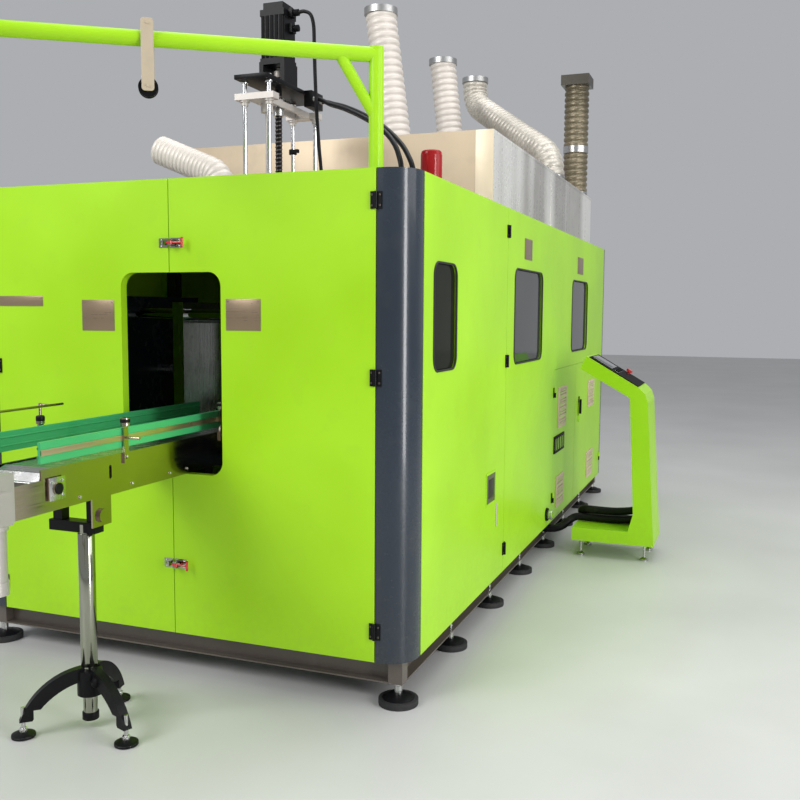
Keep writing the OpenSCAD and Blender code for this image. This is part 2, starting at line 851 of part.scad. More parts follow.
// A straight duct from a place on the hood to a place at the top, cut level at both ends
module leaning_duct(a, b) {
  from = [a[0], a[1], duct_foot];
  v = [b[0], b[1], duct_end] - from;
  over = 43;
  difference() {
    translate(from) rotate([0, 0, atan2(v[1], v[0])]) rotate([0, acos(v[2] / norm(v)), 0])
      translate([0, 0, -over]) straight_duct(norm(v) + 2 * over);
    translate([from[0] - 200, from[1] - 200, duct_foot - 200]) cube([400, 400, 200]);
    translate([b[0] - 200, b[1] - 200, duct_end]) cube([400, 400, 200]);
  }
}

// Path of a duct that leaves a place straight up and bends over to a slant:
// across is the way over, n the steps in the bend, m those on the slant
function bend_over(from, across, tail, r, turn, slant, n, m) =
  concat([from], [for (i = [0 : n])
      from + across * r * (1 - cos(turn * i / n)) + top_up * (tail + r * sin(turn * i / n))],
    [for (i = [1 : m]) from + across * (r * (1 - cos(turn)) + slant * i / m * sin(turn))
      + top_up * (tail + r * sin(turn) + slant * i / m * cos(turn))]);

bend_r = 220;
bend_turn = 62;
bend_from = [duct_c[0][0], duct_c[0][1], duct_foot];
bend_to = [duct_c[1][0], duct_c[1][1], duct_end];
bend_run = norm([bend_to[0] - bend_from[0], bend_to[1] - bend_from[1]]);
bend_across = [bend_to[0] - bend_from[0], bend_to[1] - bend_from[1], 0] / bend_run;
bend_slant = (bend_run - 2 * bend_r * (1 - cos(bend_turn))) / sin(bend_turn);
bend_tail = (duct_end - duct_foot - 2 * bend_r * sin(bend_turn) - bend_slant * cos(bend_turn)) / 2;
half_bend = bend_over(bend_from, bend_across, bend_tail, bend_r, bend_turn, bend_slant / 2, 9, 20);
bend_route = concat(half_bend, [for (i = [len(half_bend) - 2 : -1 : 0])
  bend_from + bend_to - half_bend[i]]);
stub_turn = 68;
stub_route = bend_over([30, -2085, roof_z], [-1, 0, 0], 10, 75, stub_turn, 290, 8, 10);

module exhaust_ducts() {
  color("gainsboro") {
    for (d = [duct_a, duct_b]) leaning_duct(d[0], d[1]);
    ribbed_tube(bend_route, duct_d / 2, duct_d / 2 - rib - duct_wall - 3, duct_sides, top_up,
      top_up);
    translate([duct_d_at[0], duct_d_at[1], duct_foot])
      straight_duct(duct_top - 2 * collar_h - duct_foot);
    ribbed_tube(stub_route, 65, 53, 12, top_up, unit([-sin(stub_turn), 0, cos(stub_turn)]));
  }
}

beacon_at = [half_w - 100, front_y + 510];

module beacon() {
  translate([beacon_at[0], beacon_at[1], roof_z]) {
    color(dark) cylinder(d = 100, h = 18);
    color("red") translate([0, 0, 18 - eps]) rotate_extrude() polygon([[0, 0], [46, 0],
      [46, 104 + eps], [43, 112 + eps], [34, 119 + eps], [18, 122 + eps], [0, 123 + eps]]);
  }
}

module jib_post() {
  color(lime) translate([mast_x, mast_y, roof_z]) {
    cylinder(d = 110, h = 8);
    cylinder(d = 76, h = 18);
    cylinder(d = spindle_d, h = jib_z - roof_z - 150);
  }
}

// Turned so that the arm lies along +x from the post
module along_arm() {
  translate([mast_x, mast_y, jib_z]) rotate([0, 0, 180 + jib_swing_deg]) children();
}

// A round bar between two points
module bar(a, b, d) {
  v = b - a;
  translate(a) rotate([0, acos(v[2] / norm(v)), atan2(v[1], v[0])]) cylinder(d = d, h = norm(v));
}

module jib_arm() {
  foot = roof_z + 18 + 0.5 - jib_z;
  color(lime) along_arm() difference() {
    union() {
      cyl_z([0, 0, foot], jib_d / 2, jib_d / 2 - foot);
      cyl_x([0, 0, 0], jib_d / 2, jib_len);
      bar([0, 0, -240], [148, 0, 0], jib_d * 0.76);
    }
    cyl_z([0, 0, foot - eps], spindle_d / 2 + running_gap, -foot - 150 + 6 + eps);
  }
}

plate_gap = jib_d / 2 + 5;
roller_z = jib_d / 2 + roller_r;

module trolley_frame() {
  color("wheat") along_arm() translate([trolley_at, 0, 0]) {
    for (s = [-1, 1]) difference() {
      translate([0, s * (plate_gap + 3) + 3, 0]) rotate([90, 0, 0]) linear_extrude(6)
        translate([0, (roller_z - pulley_drop) / 2])
        rounded(trolley_w, roller_z + pulley_drop + trolley_w - 8, 12);
      cyl_y([0, -80, roller_z], 5, 160);
      cyl_y([0, -80, -pulley_drop], 6, 160);
    }
    cyl_y([0, -plate_gap - 10, roller_z], 5, 2 * plate_gap + 20);
    cyl_y([0, -plate_gap - 10, -pulley_drop], 6, 2 * plate_gap + 20);
  }
}

module grooved_wheel(r, w, bore) {
  rotate([90, 0, 0]) rotate_extrude() polygon([[bore, -w / 2], [r, -w / 2], [r, -w / 2 + 4],
    [r - 6, 0], [r, w / 2 - 4], [r, w / 2], [bore, w / 2]]);
}

module trolley_roller() {
  color(dark) along_arm() translate([trolley_at, 0, roller_z + seat]) rotate([90, 0, 0])
    rotate_extrude() polygon([[5 + running_gap + seat, -20], [roller_r, -20], [roller_r, 20],
      [5 + running_gap + seat, 20]]);
}

module trolley_pulley() {
  color(dark) along_arm() translate([trolley_at, 0, -pulley_drop])
    grooved_wheel(pulley_r, 30, 6 + running_gap);
}

// Stretch unit: a deck under the roof, four columns and a top plate
module stretch_columns() {
  color(steel) difference() {
    union() {
      block([-well_x, deck_front_y, deck_z], [well_x, deck_rear_y, deck_z + deck_t]);
      for (x = [-column_x, column_x], y = [rod_front_y, rod_rear_y])
        cyl_z([x, y, deck_z], column_d / 2, top_plate_z - deck_z + 10);
      block([-head_half_w, rod_front_y - 60, top_plate_z],
        [head_half_w, rod_rear_y + 60, top_plate_z + 20]);
      block([head_half_w - eps, hose_bracket_y, top_plate_z - 60],
        [130, hose_bracket_y + 130, top_plate_z + 20]);
    }
    block([-100, nozzle_y - 70, deck_z - eps], [100, nozzle_y + 70, deck_z + deck_t + eps]);
    cyl_z([0, screw_y, deck_z - eps], screw_d / 2 + running_gap, deck_t + 2 * eps);
    cyl_z([0, screw_y, top_plate_z - eps], screw_d / 2 + running_gap, 20 + 2 * eps);
  }
}

module servo_motor() {
  z0 = top_plate_z + 20;
  w = servo_w / 2;
  color(dark) {
    difference() {
      block([-w, screw_y - w, z0], [w, screw_y + w, z0 + 110]);
      block([-w + 22, screw_y - w - eps, z0 + 10], [w - 22, screw_y + w + eps, z0 + 96]);
      cyl_z([0, screw_y, z0 - eps], 24, 12);
      cyl_z([0, screw_y, z0 + 90], 10 + seat, 25);
    }
    difference() {
      block([-w + 4, screw_y - w + 4, z0 + 110], [w - 4, screw_y + w - 4, z0 + 360]);
      for (s = [-1, 1], k = [-1, 1]) translate([s * (w - 4), screw_y + k * (w - 4), z0 + 128])
        cylinder(r = 12, h = 200);
    }
    block([-w + 16, screw_y - w + 16, z0 + 360], [w - 16, screw_y + w - 16, z0 + 395]);
    for (z = [z0 + 255, z0 + 330]) {
      block([w - 4, screw_y - 24, z], [w + 18, screw_y + 24, z + 40]);
      cyl_x([w + 18, screw_y, z + 20], 15, 26);
    }
  }
}

module ball_screw() {
  color("dimgray") translate([0, screw_y, 0]) {
    cyl_z([0, 0, deck_z + 2], screw_d / 2, shaft_top_z - deck_z - 2);
    cyl_z([0, 0, top_plate_z + 34], 22, 60);
  }
}

module stretch_carriage() {
  t = 30;
  color("whitesmoke") translate([0, 0, carriage_z]) difference() {
    union() {
      block([-105, rod_front_y - 30, 0], [105, rod_front_y + 30, t]);
      block([-45, rod_front_y, 0], [45, rod_rear_y, t]);
      block([-column_x - 26, rod_rear_y - 30, 0], [column_x + 26, rod_rear_y + 30, t]);
      for (x = [-column_x, column_x], y = [rod_front_y, rod_rear_y]) {
        cyl_z([x, y, -24], 17, 24 + eps);
        cyl_z([x, y, -8], 24, 8 + eps);
      }
      cyl_z([0, nozzle_y, -40], 30, 40 + eps);
      cyl_z([0, nozzle_y, -560], 8, 560 + eps);
    }
    for (x = [-column_x, column_x], y = [rod_front_y, rod_rear_y])
      cyl_z([x, y, -40], column_d / 2 + running_gap, 80);
    // window that the nut hangs in
    block([-nut_window, nozzle_y + 40, -eps], [nut_window, rod_rear_y - 40, t + eps]);
  }
}

// Nut of the ball screw, its flange lying on the carriage
module screw_nut() {
  color("silver") translate([0, screw_y, carriage_z]) difference() {
    union() {
      block([-43, -32, 30], [43, 32, 42]);
      cyl_z([0, 0, -34], 27, 64 + eps);
    }
    cyl_z([0, 0, -35], screw_d / 2 + running_gap, 80);
  }
}

// Clamp unit
module clamp_frame() {
  y0 = clamp_y - clamp_half_y;
  y1 = clamp_y + clamp_half_y;
  color("lightslategray") difference() {
    union() {
      block([-end_plate_x - 60, y0, bed_z], [end_plate_x + 60, y1, bed_z + bed_t]);
      both_sides() {
        block([end_plate_x, y0, bed_z + bed_t - eps],
          [end_plate_x + end_plate_t, y1, tie_z[1] + 90]);
        block([end_plate_x - 80, y0, base_z + beam_h], [end_plate_x, y0 + 80, bed_z + eps]);
        block([end_plate_x - 80, y1 - 80, base_z + beam_h], [end_plate_x, y1, bed_z + eps]);
        block([end_plate_x - 80, channel_w - frame_y, base_z + beam_h - 60],
          [end_plate_x, -1170 - 40, base_z + beam_h + eps]);
        difference() {
          cyl_x([end_plate_x + end_plate_t - eps, clamp_y, piston_z], 80, 260);
          cyl_x([end_plate_x + end_plate_t - 2 * eps, clamp_y, piston_z], 62, 240);
        }
      }
    }
    for (z = tie_z, s = [-1, 1]) both_sides()
      cyl_x([end_plate_x - eps, clamp_y + s * tie_y, z], tie_d / 2 + running_gap,
        end_plate_t + 2 * eps);
    both_sides() cyl_x([end_plate_x - eps, clamp_y, piston_z], 30 + running_gap,
      end_plate_t + 2 * eps);
  }
}

module tie_bars() {
  l = 2 * (end_plate_x + end_plate_t + 30);
  color(steel) for (z = tie_z, s = [-1, 1])
    cyl_x([-l / 2, clamp_y + s * tie_y, z], tie_d / 2, l);
}

// A platen on the tie bars with its mould half and piston rod, on the +X side
module platen() {
  x0 = platen_open;
  difference() {
    union() {
      block([x0, clamp_y - clamp_half_y + 20, tie_z[0] - 60],
        [x0 + platen_t, clamp_y + clamp_half_y - 20, tie_z[1] + 60]);
      block([x0 - mould_t, clamp_y - mould_half_y, mould_z],
        [x0 + eps, clamp_y + mould_half_y, mould_z + mould_h]);
      cyl_x([x0 + platen_t - eps, clamp_y, piston_z], 30, 520);
      cyl_x([x0 + platen_t + 490, clamp_y, piston_z], 62 - running_gap, 30);
    }
    for (z = tie_z, s = [-1, 1]) cyl_x([x0 - eps, clamp_y + s * tie_y, z],
      tie_d / 2 + running_gap, platen_t + 2 * eps);
    // the cavity of half a bottle, with its neck
    translate([x0 - mould_t, clamp_y, mould_z]) rotate_extrude() polygon([[0, 40], [100, 40],
      [105, 50], [105, 330], [60, 420], [30, 450], [30, mould_h + eps], [0, mould_h + eps]]);
  }
}

module platen_right() {
  color("lightsteelblue") platen();
}

module platen_left() {
  color("lightsteelblue") mirror([1, 0, 0]) platen();
}

// Heating oven: two banks of lamps on legs, with the preforms' path between them
oven_y0 = front_y + 1900;
oven_y1 = front_y + 4300;
oven_z = 1250;

module oven_banks() {
  color("lightgray") both_sides() {
    block([190, oven_y0, oven_z - 60], [230, oven_y1, oven_z + 420]);
    block([110, oven_y0, oven_z + 420 - eps], [230, oven_y1, oven_z + 440]);
    for (i = [0 : 8]) cyl_y([165, oven_y0 + 13, oven_z + i * 44], 7, oven_y1 - oven_y0 - 26);
    for (y = [oven_y0, oven_y1 - 14]) block([150, y, oven_z - 20], [190 + eps, y + 14, oven_z + 400]);
    for (y = [oven_y0 + 200, oven_y1 - 260])
      block([190, y, base_z + beam_h], [230, y + 60, oven_z - 60 + eps]);
  }
  color("lightgray") for (y = [oven_y0 + 200, oven_y1 - 260])
    block([-frame_x + channel_w, y, base_z + beam_h - 40],
      [frame_x - channel_w, y + 60, base_z + beam_h + eps]);
}

rail_z = oven_z + 480;

module preform_rail() {
  l = half_l - 60 - nozzle_y - 200;
  color(steel) {
    both_sides() block([18, nozzle_y + 200, rail_z], [30, nozzle_y + 200 + l, rail_z + 40]);
    for (k = [0 : 4]) {
      y = oven_y0 + 100 + k * 540;
      difference() {
        block([-225, y, oven_z + 440], [225, y + 30, rail_z + 60]);
        block([-17.9, y - eps, oven_z + 439], [17.9, y + 30 + eps, rail_z + 41]);
        both_sides() block([17, y - eps, rail_z - 0.1], [30.1, y + 30 + eps, rail_z + 41]);
        both_sides() block([31, y - eps, oven_z + 439], [108, y + 30 + eps, rail_z + 20]);
      }
    }
  }
}

// Conveyor
module conv_plate() {
  x0 = conv_w / 2 - conv_plate_t;
  y0 = drive_box_y;
  difference() {
    block([x0, y0, conv_z], [conv_w / 2, conv_in_y, conv_z + conv_plate_h]);
    // the far end steps down past the end shaft
    block([x0 - eps, y0 - eps, conv_z + 110], [conv_w / 2 + eps, conv_end_y - chain_r, 2000]);
    for (y = [conv_end_y, tail_y])
      cyl_x([x0 - eps, y, shaft_z], shaft_d / 2 + running_gap, conv_plate_t + 2 * eps);
    // take-up slot
    translate([x0 - eps, stand_y + 5, conv_z + 85]) rotate([90, 0, 90])
      linear_extrude(conv_plate_t + 2 * eps) rounded(14, 50, 6.9);
  }
}

module guide_post(x, y, top) {
  block([x, y - 12.5, conv_z + 105], [x + 8, y + 12.5, top]);
}

module bearing_flange(y) {
  difference() {
    union() {
      block([conv_w / 2, y - 33, shaft_z - 33], [conv_w / 2 + 8, y + 33, shaft_z + 33]);
      cyl_x([conv_w / 2, y, shaft_z], 22, 16);
    }
    cyl_x([conv_w / 2 - eps, y, shaft_z], shaft_d / 2 + running_gap, 20);
  }
}

module conveyor_frame() {
  rod_z = guide_z + guide_h / 2;
  w = conv_w / 2;
  color("darkkhaki") {
    difference() {
      union() {
        both_sides() conv_plate();
        for (y = [drive_box_y + 100, stand_y - 30, conv_in_y - 300, front_y - 160])
          block([-w + conv_plate_t - eps, y, conv_z], [w - conv_plate_t + eps, y + 60, conv_z + 8]);
        for (y = [stand_y + 60, front_y + 60])
          cyl_x([-w, y, shaft_z], 8, conv_w);
        // foot on the clamp unit's bed
        block([-w, clamp_y - clamp_half_y, bed_z + bed_t], [w, conv_in_y, conv_z + eps]);
      }
    }
    both_sides() for (y = [conv_end_y, tail_y]) bearing_flange(y);
    // near guide posts with their rods
    for (y = [near_bracket_y, inner_bracket_y]) {
      difference() {
        guide_post(w, y, rod_z + 45);
        cyl_x([w - eps, y, conv_z + 125], 5, 12);
      }
      cyl_x([near_guide_x + guide_t, y, rod_z], 5, 72);
      cyl_z([w + 4, y, rod_z + 44], 18, 30);
    }
    block([near_guide_x + guide_t, conv_end_y - 60, rod_z - 8],
      [near_guide_x + guide_t + 3, conv_in_y - 20, rod_z + 8]);
    // far guide posts, set out from the plate
    for (y = [far_bracket_y, inner_bracket_y, far_bracket_y - 460]) {
      block([-255, y - 12.5, conv_z + 105], [-w + eps, y + 12.5, conv_z + 113]);
      guide_post(-255, y, y < front_y ? rod_z + 38 : rod_z + 20);
      cyl_x([-256, y, rod_z], 5, 256 + far_guide_x - guide_t);
    }
    block([far_guide_x - guide_t - 3, drive_box_y, rod_z - 8],
      [far_guide_x - guide_t, conv_in_y - 20, rod_z + 8]);
    // upper guide rod
    cyl_y([far_guide_x, drive_box_y, guide_z + 145], 5, 760);
    for (y = [far_bracket_y, far_bracket_y - 460]) {
      cyl_x([-256, y, guide_z + 145], 5, 256 + far_guide_x);
      cyl_z([-251, y, rod_z + 37], 16, 28);
      cyl_z([-251, y, rod_z + 60], 5, guide_z + 92 - rod_z);
    }
    // hanging bracket with its roller boss
    block([w - conv_plate_t, front_y - 648, conv_z - 103], [w, front_y - 545, conv_z + eps]);
    cyl_x([w - eps, front_y - 597, conv_z - 65], 25, 12);
  }
}

// Slat chain: a band round both shafts, notched between its slats
module slat_chain() {
  l = tail_y - conv_end_y;
  n = floor(l / 38.1);
  pitch = l / n;
  gap = 1.6;
  color("lightgray") translate([-chain_w / 2, conv_end_y, shaft_z]) rotate([90, 0, 90])
    linear_extrude(chain_w) difference() {
      union() {
        circle(chain_r, $fn = fine);
        translate([l, 0]) circle(chain_r, $fn = fine);
        translate([0, -chain_r]) square([l, 2 * chain_r]);
      }
      circle(chain_r - chain_t, $fn = fine);
      translate([l, 0]) circle(chain_r - chain_t, $fn = fine);
      translate([0, -chain_r + chain_t]) square([l, 2 * (chain_r - chain_t)]);
      for (i = [0 : n], s = [-1, 1])
        translate([i * pitch, s * chain_r]) square([gap, 8], center = true);
    }
}

module guide_rails() {
  y1 = conv_in_y - 20;
  color("seagreen") {
    block([near_guide_x, conv_end_y - 60, guide_z], [near_guide_x + guide_t, y1, guide_z + guide_h]);
    block([far_guide_x - guide_t, drive_box_y, guide_z], [far_guide_x, y1, guide_z + guide_h]);
  }
}

// A shaft with two toothed wheels for the chain
module chain_shaft(y) {
  l = conv_w + 36;
  translate([-l / 2, y, shaft_z]) rotate([0, 90, 0]) {
    cylinder(d = shaft_d, h = l);
    for (x = [l / 2 - 50, l / 2 + 30]) translate([0, 0, x]) linear_extrude(20) difference() {
      circle(chain_r - chain_t - 0.5);
      for (a = [0 : 30 : 330]) rotate(a) translate([chain_r - chain_t, 0]) circle(7, $fn = 16);
    }
  }
}

module drive_shaft() {
  color("gray") chain_shaft(conv_end_y);
}

module tail_shaft() {
  color("gray") chain_shaft(tail_y);
}

module gearmotor() {
  x0 = conv_w / 2;
  y0 = drive_box_y - 20;
  color("gainsboro") {
    block([x0 + seat, y0, conv_z + 10], [x0 + 40, y0 + 145, conv_z + 165]);
    block([x0 + 40 - eps, y0 + 5, conv_z + 20], [x0 + 92, y0 + 83, conv_z + 120]);
    cyl_z([x0 + 50, y0 + 44, conv_z + 8], 44, 12 + eps);
    cyl_z([x0 + 50, y0 + 44, conv_z - 150], 38, 158 + eps);
    cyl_z([x0 + 50, y0 + 44, conv_z - 190], 41, 40 + eps);
  }
}

arm_turns = [225, 340, 102];
leg_r = 236;

// One curved leg of the stand, from the hub out and down to its foot
module stand_leg() {
  rotate([90, 0, 0]) translate([0, 0, -17]) linear_extrude(34) difference() {
    intersection() {
      translate([0, -30]) circle(265, $fn = fine);
      translate([0, 0]) square([262, 300]);
      union() {
        translate([0, 100]) square([262, 300]);
        translate([200, 60]) square([62, 100]);
      }
    }
    translate([-20, -75]) circle(262, $fn = fine);
  }
}

hub_z = 127;
hub_h = 95;
column_r = 26;
stand_top = conv_z - 105;

module stand_base() {
  color(dark) translate([0, stand_y, 0]) {
    difference() {
      union() {
        cyl_z([0, 0, hub_z], 46, hub_h);
        for (a = arm_turns) rotate([0, 0, a]) stand_leg();
      }
      cyl_z([0, 0, 20], column_r + running_gap, hub_z + hub_h);
      for (a = arm_turns) rotate([0, 0, a]) cyl_z([leg_r, 0, 40], 8, 90);
    }
    difference() {
      union() {
        block([-148, -25, stand_top - 40], [60, 25, stand_top]);
        for (x = [-132, 20]) block([x, -20, stand_top - eps], [x + 40, 20, conv_z]);
      }
      cyl_z([0, 0, stand_top - 41], column_r + running_gap, 31);
    }
  }
}

module stand_column() {
  color(steel) cyl_z([0, stand_y, 30], column_r, stand_top - 10 - 30);
}

console_pads = [[console_x0 + 50, console_y + 60], [console_x0 + 50, console_y + console_w - 60],
  [console_x1 - 60, console_y + 60], [console_x1 - 60, console_y + console_w - 60]];

// Console seen from the side: a foot bar, a leaning column and a sloped head
console_base_z = console_foot_z + 59;
console_bar_z = 188;

function console_outline(k) = [[console_x0 + k, console_base_z + k],
  [console_x1 - k, console_base_z + k], [console_x1 - 61 - k, 1010], [console_x1 - 78 - k, 1062],
  [console_x1 - 115 - k, 1098 - k], [console_x0 + 66, 1290 - k], [console_x0 + 28 + k, 1212 + k],
  [console_x0 + 340 - 0.6 * k, 1036 + k], [console_x0 + 380 + k, 300],
  [console_x0 + 350 + k, console_bar_z - k], [console_x0 + k, console_bar_z - k]];

module console_body() {
  color(lime) difference() {
    translate([0, console_y, 0]) wall(console_w) polygon(console_outline(0));
    translate([0, console_y + sheet, 0]) wall(console_w - 2 * sheet)
      polygon(console_outline(sheet));
    for (p = console_pads) cyl_z([p[0], p[1], console_base_z - eps], 8 + running_gap, 10);
  }
}

slope_from = [console_x0 + 66, 1290];
slope_to = [console_x1 - 115, 1098];
slope_deg = atan2(slope_to[1] - slope_from[1], slope_to[0] - slope_from[0]);
slope_l = norm(slope_to - slope_from);

// Lies on the sloped head: x down the slope, y across, z out of it
module on_slope() {
  translate([slope_from[0], console_y, slope_from[1]]) rotate([0, -slope_deg, 0]) children();
}

module console_panel() {
  color(dark) on_slope() difference() {
    union() {
      block([15, 20, seat], [slope_l - 12, console_w - 20, 6]);
      block([30, 60, 6 - eps], [170, console_w - 130, 12]);
      for (i = [0 : 3]) cyl_z([205, 80 + i * 60, 5], 14, 13);
    }
    cyl_z([250, console_w - 70, -eps], 12 + running_gap, 12);
  }
}

module emergency_button() {
  color("red") on_slope() {
    cyl_z([250, console_w - 70, 5], 12, 16);
    cyl_z([250, console_w - 70, 17], 21, 16);
  }
}

// Cords: hand-chosen points, joined smoothly
gland_h = 16;
hose_d = 22;
hose_a = [[130, -1345, 2640], [165, -1353, 2635], [225, -1410, 2606], [310, -1520, 2563],
  [450, -1666, 2503], [620, -1837, 2418], [770, -1992, 2330], [858, -2080, 2252],
  [898, -2120, 2185], [910, -2130, 2140], [910, -2130, 2116]];
hose_b = [[130, -1270, 2640], [168, -1278, 2637], [245, -1350, 2607], [390, -1529, 2545],
  [563, -1705, 2461], [729, -1873, 2365], [855, -1998, 2268], [918, -2062, 2195],
  [945, -2090, 2145], [945, -2090, 2116]];
hose_ends = [[910, -2130], [945, -2090]];
motor_route = [[114, -1480, 3030], [145, -1480, 3032], [180, -1481, 3013], [196, -1480, 2960],
  [199, -1479, 2870], [202, -1478, 2740], [209, -1477, 2570], [221, -1476, 2390],
  [239, -1476, 2210], [250, -1476, 2100], [253, -1476, 2036]];
bundle_route = [[1608, 350, 234], [1560, 350, 222], [1480, 352, 216], [1380, 356, 215],
  [1290, 358, 215], [1228, 352, 215], [1188, 338, 194], [1148, 313, 158], [1105, 296, 139],
  [1060, 290, 134], [1020, 288, 133], [986, 288, 133]];
slack_route = [[1618, 350, 291], [1560, 350, 280], [1480, 350, 271], [1390, 352, 270],
  [1310, 361, 270], [1268, 380, 265], [1252, 400, 248], [1262, 414, 230], [1310, 417, 218],
  [1400, 415, 215], [1500, 411, 215], [1580, 406, 216], [1618, 404, 219]];

module cord(route, d, start, finish) {
  sweep(smooth(route, 3), [d / 2], 8, start, finish, [0.1, 1, 0.3]);
}

module air_hoses() {
  color(dark) {
    cord(hose_a, hose_d, [1, 0, 0], down);
    cord(hose_b, hose_d, [1, 0, 0], down);
  }
}

module motor_cable() {
  color(dark) cord(motor_route, 18, [1, 0, 0], down);
}

module console_cables() {
  color(dark) {
    cord(bundle_route, 50, [-1, 0, 0], [-1, 0, 0]);
    cord(slack_route, 50, [-1, 0, 0], [1, 0, 0]);
  }
}

base_frame();
foot_pads();
levelling_studs();
frame_posts();
top_rails();
corner_posts();
roof_panels();
left_panels();
rear_panel();
right_panel();
side_windows();
side_door();
side_door_window();
fixed_hinge_leaves();
side_door_hinges();
front_door_left();
front_door_right();
left_door_hinges();
right_door_hinges();
latch_keepers();
latch_bases();
latch_handle_upper();
latch_handle_lower();
panel_door_left();
panel_door_right();
swing_handle();
exhaust_hood();
duct_collars();
exhaust_ducts();
beacon();
jib_post();
jib_arm();
trolley_frame();
trolley_roller();
trolley_pulley();
stretch_columns();
servo_motor();
ball_screw();
stretch_carriage();
screw_nut();
clamp_frame();
tie_bars();
platen_left();
platen_right();
oven_banks();
preform_rail();
conveyor_frame();
slat_chain();
guide_rails();
drive_shaft();
tail_shaft();
gearmotor();
stand_base();
stand_column();
console_body();
console_panel();
emergency_button();
air_hoses();
motor_cable();
console_cables();
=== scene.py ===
"""Looks of the blow moulding machine: finishes for every CAD node, and its fine pieces.

All places are in metres in the part's own frame: X along the front face, the front faces -Y, Z up.
"""

import json
import logging
import math
from dataclasses import dataclass, field
from enum import Enum
from itertools import product
from typing import Iterable, Sequence

import bmesh
import bpy
import numpy as np
from mathutils import Matrix, Vector

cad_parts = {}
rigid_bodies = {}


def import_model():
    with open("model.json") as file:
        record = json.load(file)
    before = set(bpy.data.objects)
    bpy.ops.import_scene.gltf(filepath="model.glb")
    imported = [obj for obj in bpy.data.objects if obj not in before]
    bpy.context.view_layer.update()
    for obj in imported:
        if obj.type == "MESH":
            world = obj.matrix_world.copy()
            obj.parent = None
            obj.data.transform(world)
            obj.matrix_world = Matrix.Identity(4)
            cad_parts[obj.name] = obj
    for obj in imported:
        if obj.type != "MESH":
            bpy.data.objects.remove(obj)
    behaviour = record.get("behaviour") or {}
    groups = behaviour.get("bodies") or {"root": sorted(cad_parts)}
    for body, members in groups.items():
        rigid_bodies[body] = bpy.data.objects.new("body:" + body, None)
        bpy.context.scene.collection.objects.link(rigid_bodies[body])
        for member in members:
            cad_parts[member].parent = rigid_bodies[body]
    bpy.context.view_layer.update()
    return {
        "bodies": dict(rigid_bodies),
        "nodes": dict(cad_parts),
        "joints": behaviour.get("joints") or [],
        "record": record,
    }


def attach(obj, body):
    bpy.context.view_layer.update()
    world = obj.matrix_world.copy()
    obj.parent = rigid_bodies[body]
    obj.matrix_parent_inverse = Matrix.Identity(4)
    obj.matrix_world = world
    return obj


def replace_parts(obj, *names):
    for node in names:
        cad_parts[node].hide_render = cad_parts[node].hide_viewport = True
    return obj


LOG = logging.getLogger("machine")
Vec = tuple[float, float, float]
Colour = tuple[float, float, float]
Rows = tuple[tuple[float, ...], ...]

HALF_W = 1.07
FRONT = -2.44
ROOF = 2.10
DUCT_FOOT = 2.534
DUCT_TOP = 3.46
UP: Vec = (0, 0, 1)
RIGHTWARD: Vec = (1, 0, 0)
FORWARD: Vec = (0, -1, 0)


class Grain(Enum):
    """Fine surface structure of a finish."""

    PLAIN = "plain"
    PEEL = "peel"
    BRUSH_X = "brush_x"
    BRUSH_Y = "brush_y"
    BRUSH_Z = "brush_z"
    MOTTLE = "mottle"


class Socket:
    """An output of a shader node; sums, differences and products make Math nodes."""

    def __init__(self, graph: "Graph", socket: bpy.types.NodeSocket) -> None:
        """Holds the output and the graph that it belongs to."""
        self.graph = graph
        self.socket = socket

    def __add__(self, other: "Socket | float") -> "Socket":
        """This output plus a value."""
        return self.graph.math("ADD", self, other)

    __radd__ = __add__

    def __sub__(self, other: "Socket | float") -> "Socket":
        """This output less a value."""
        return self.graph.math("SUBTRACT", self, other)

    def __rsub__(self, other: float) -> "Socket":
        """A value less this output."""
        return self.graph.math("SUBTRACT", other, self)

    def __mul__(self, other: "Socket | float") -> "Socket":
        """This output times a value."""
        return self.graph.math("MULTIPLY", self, other)


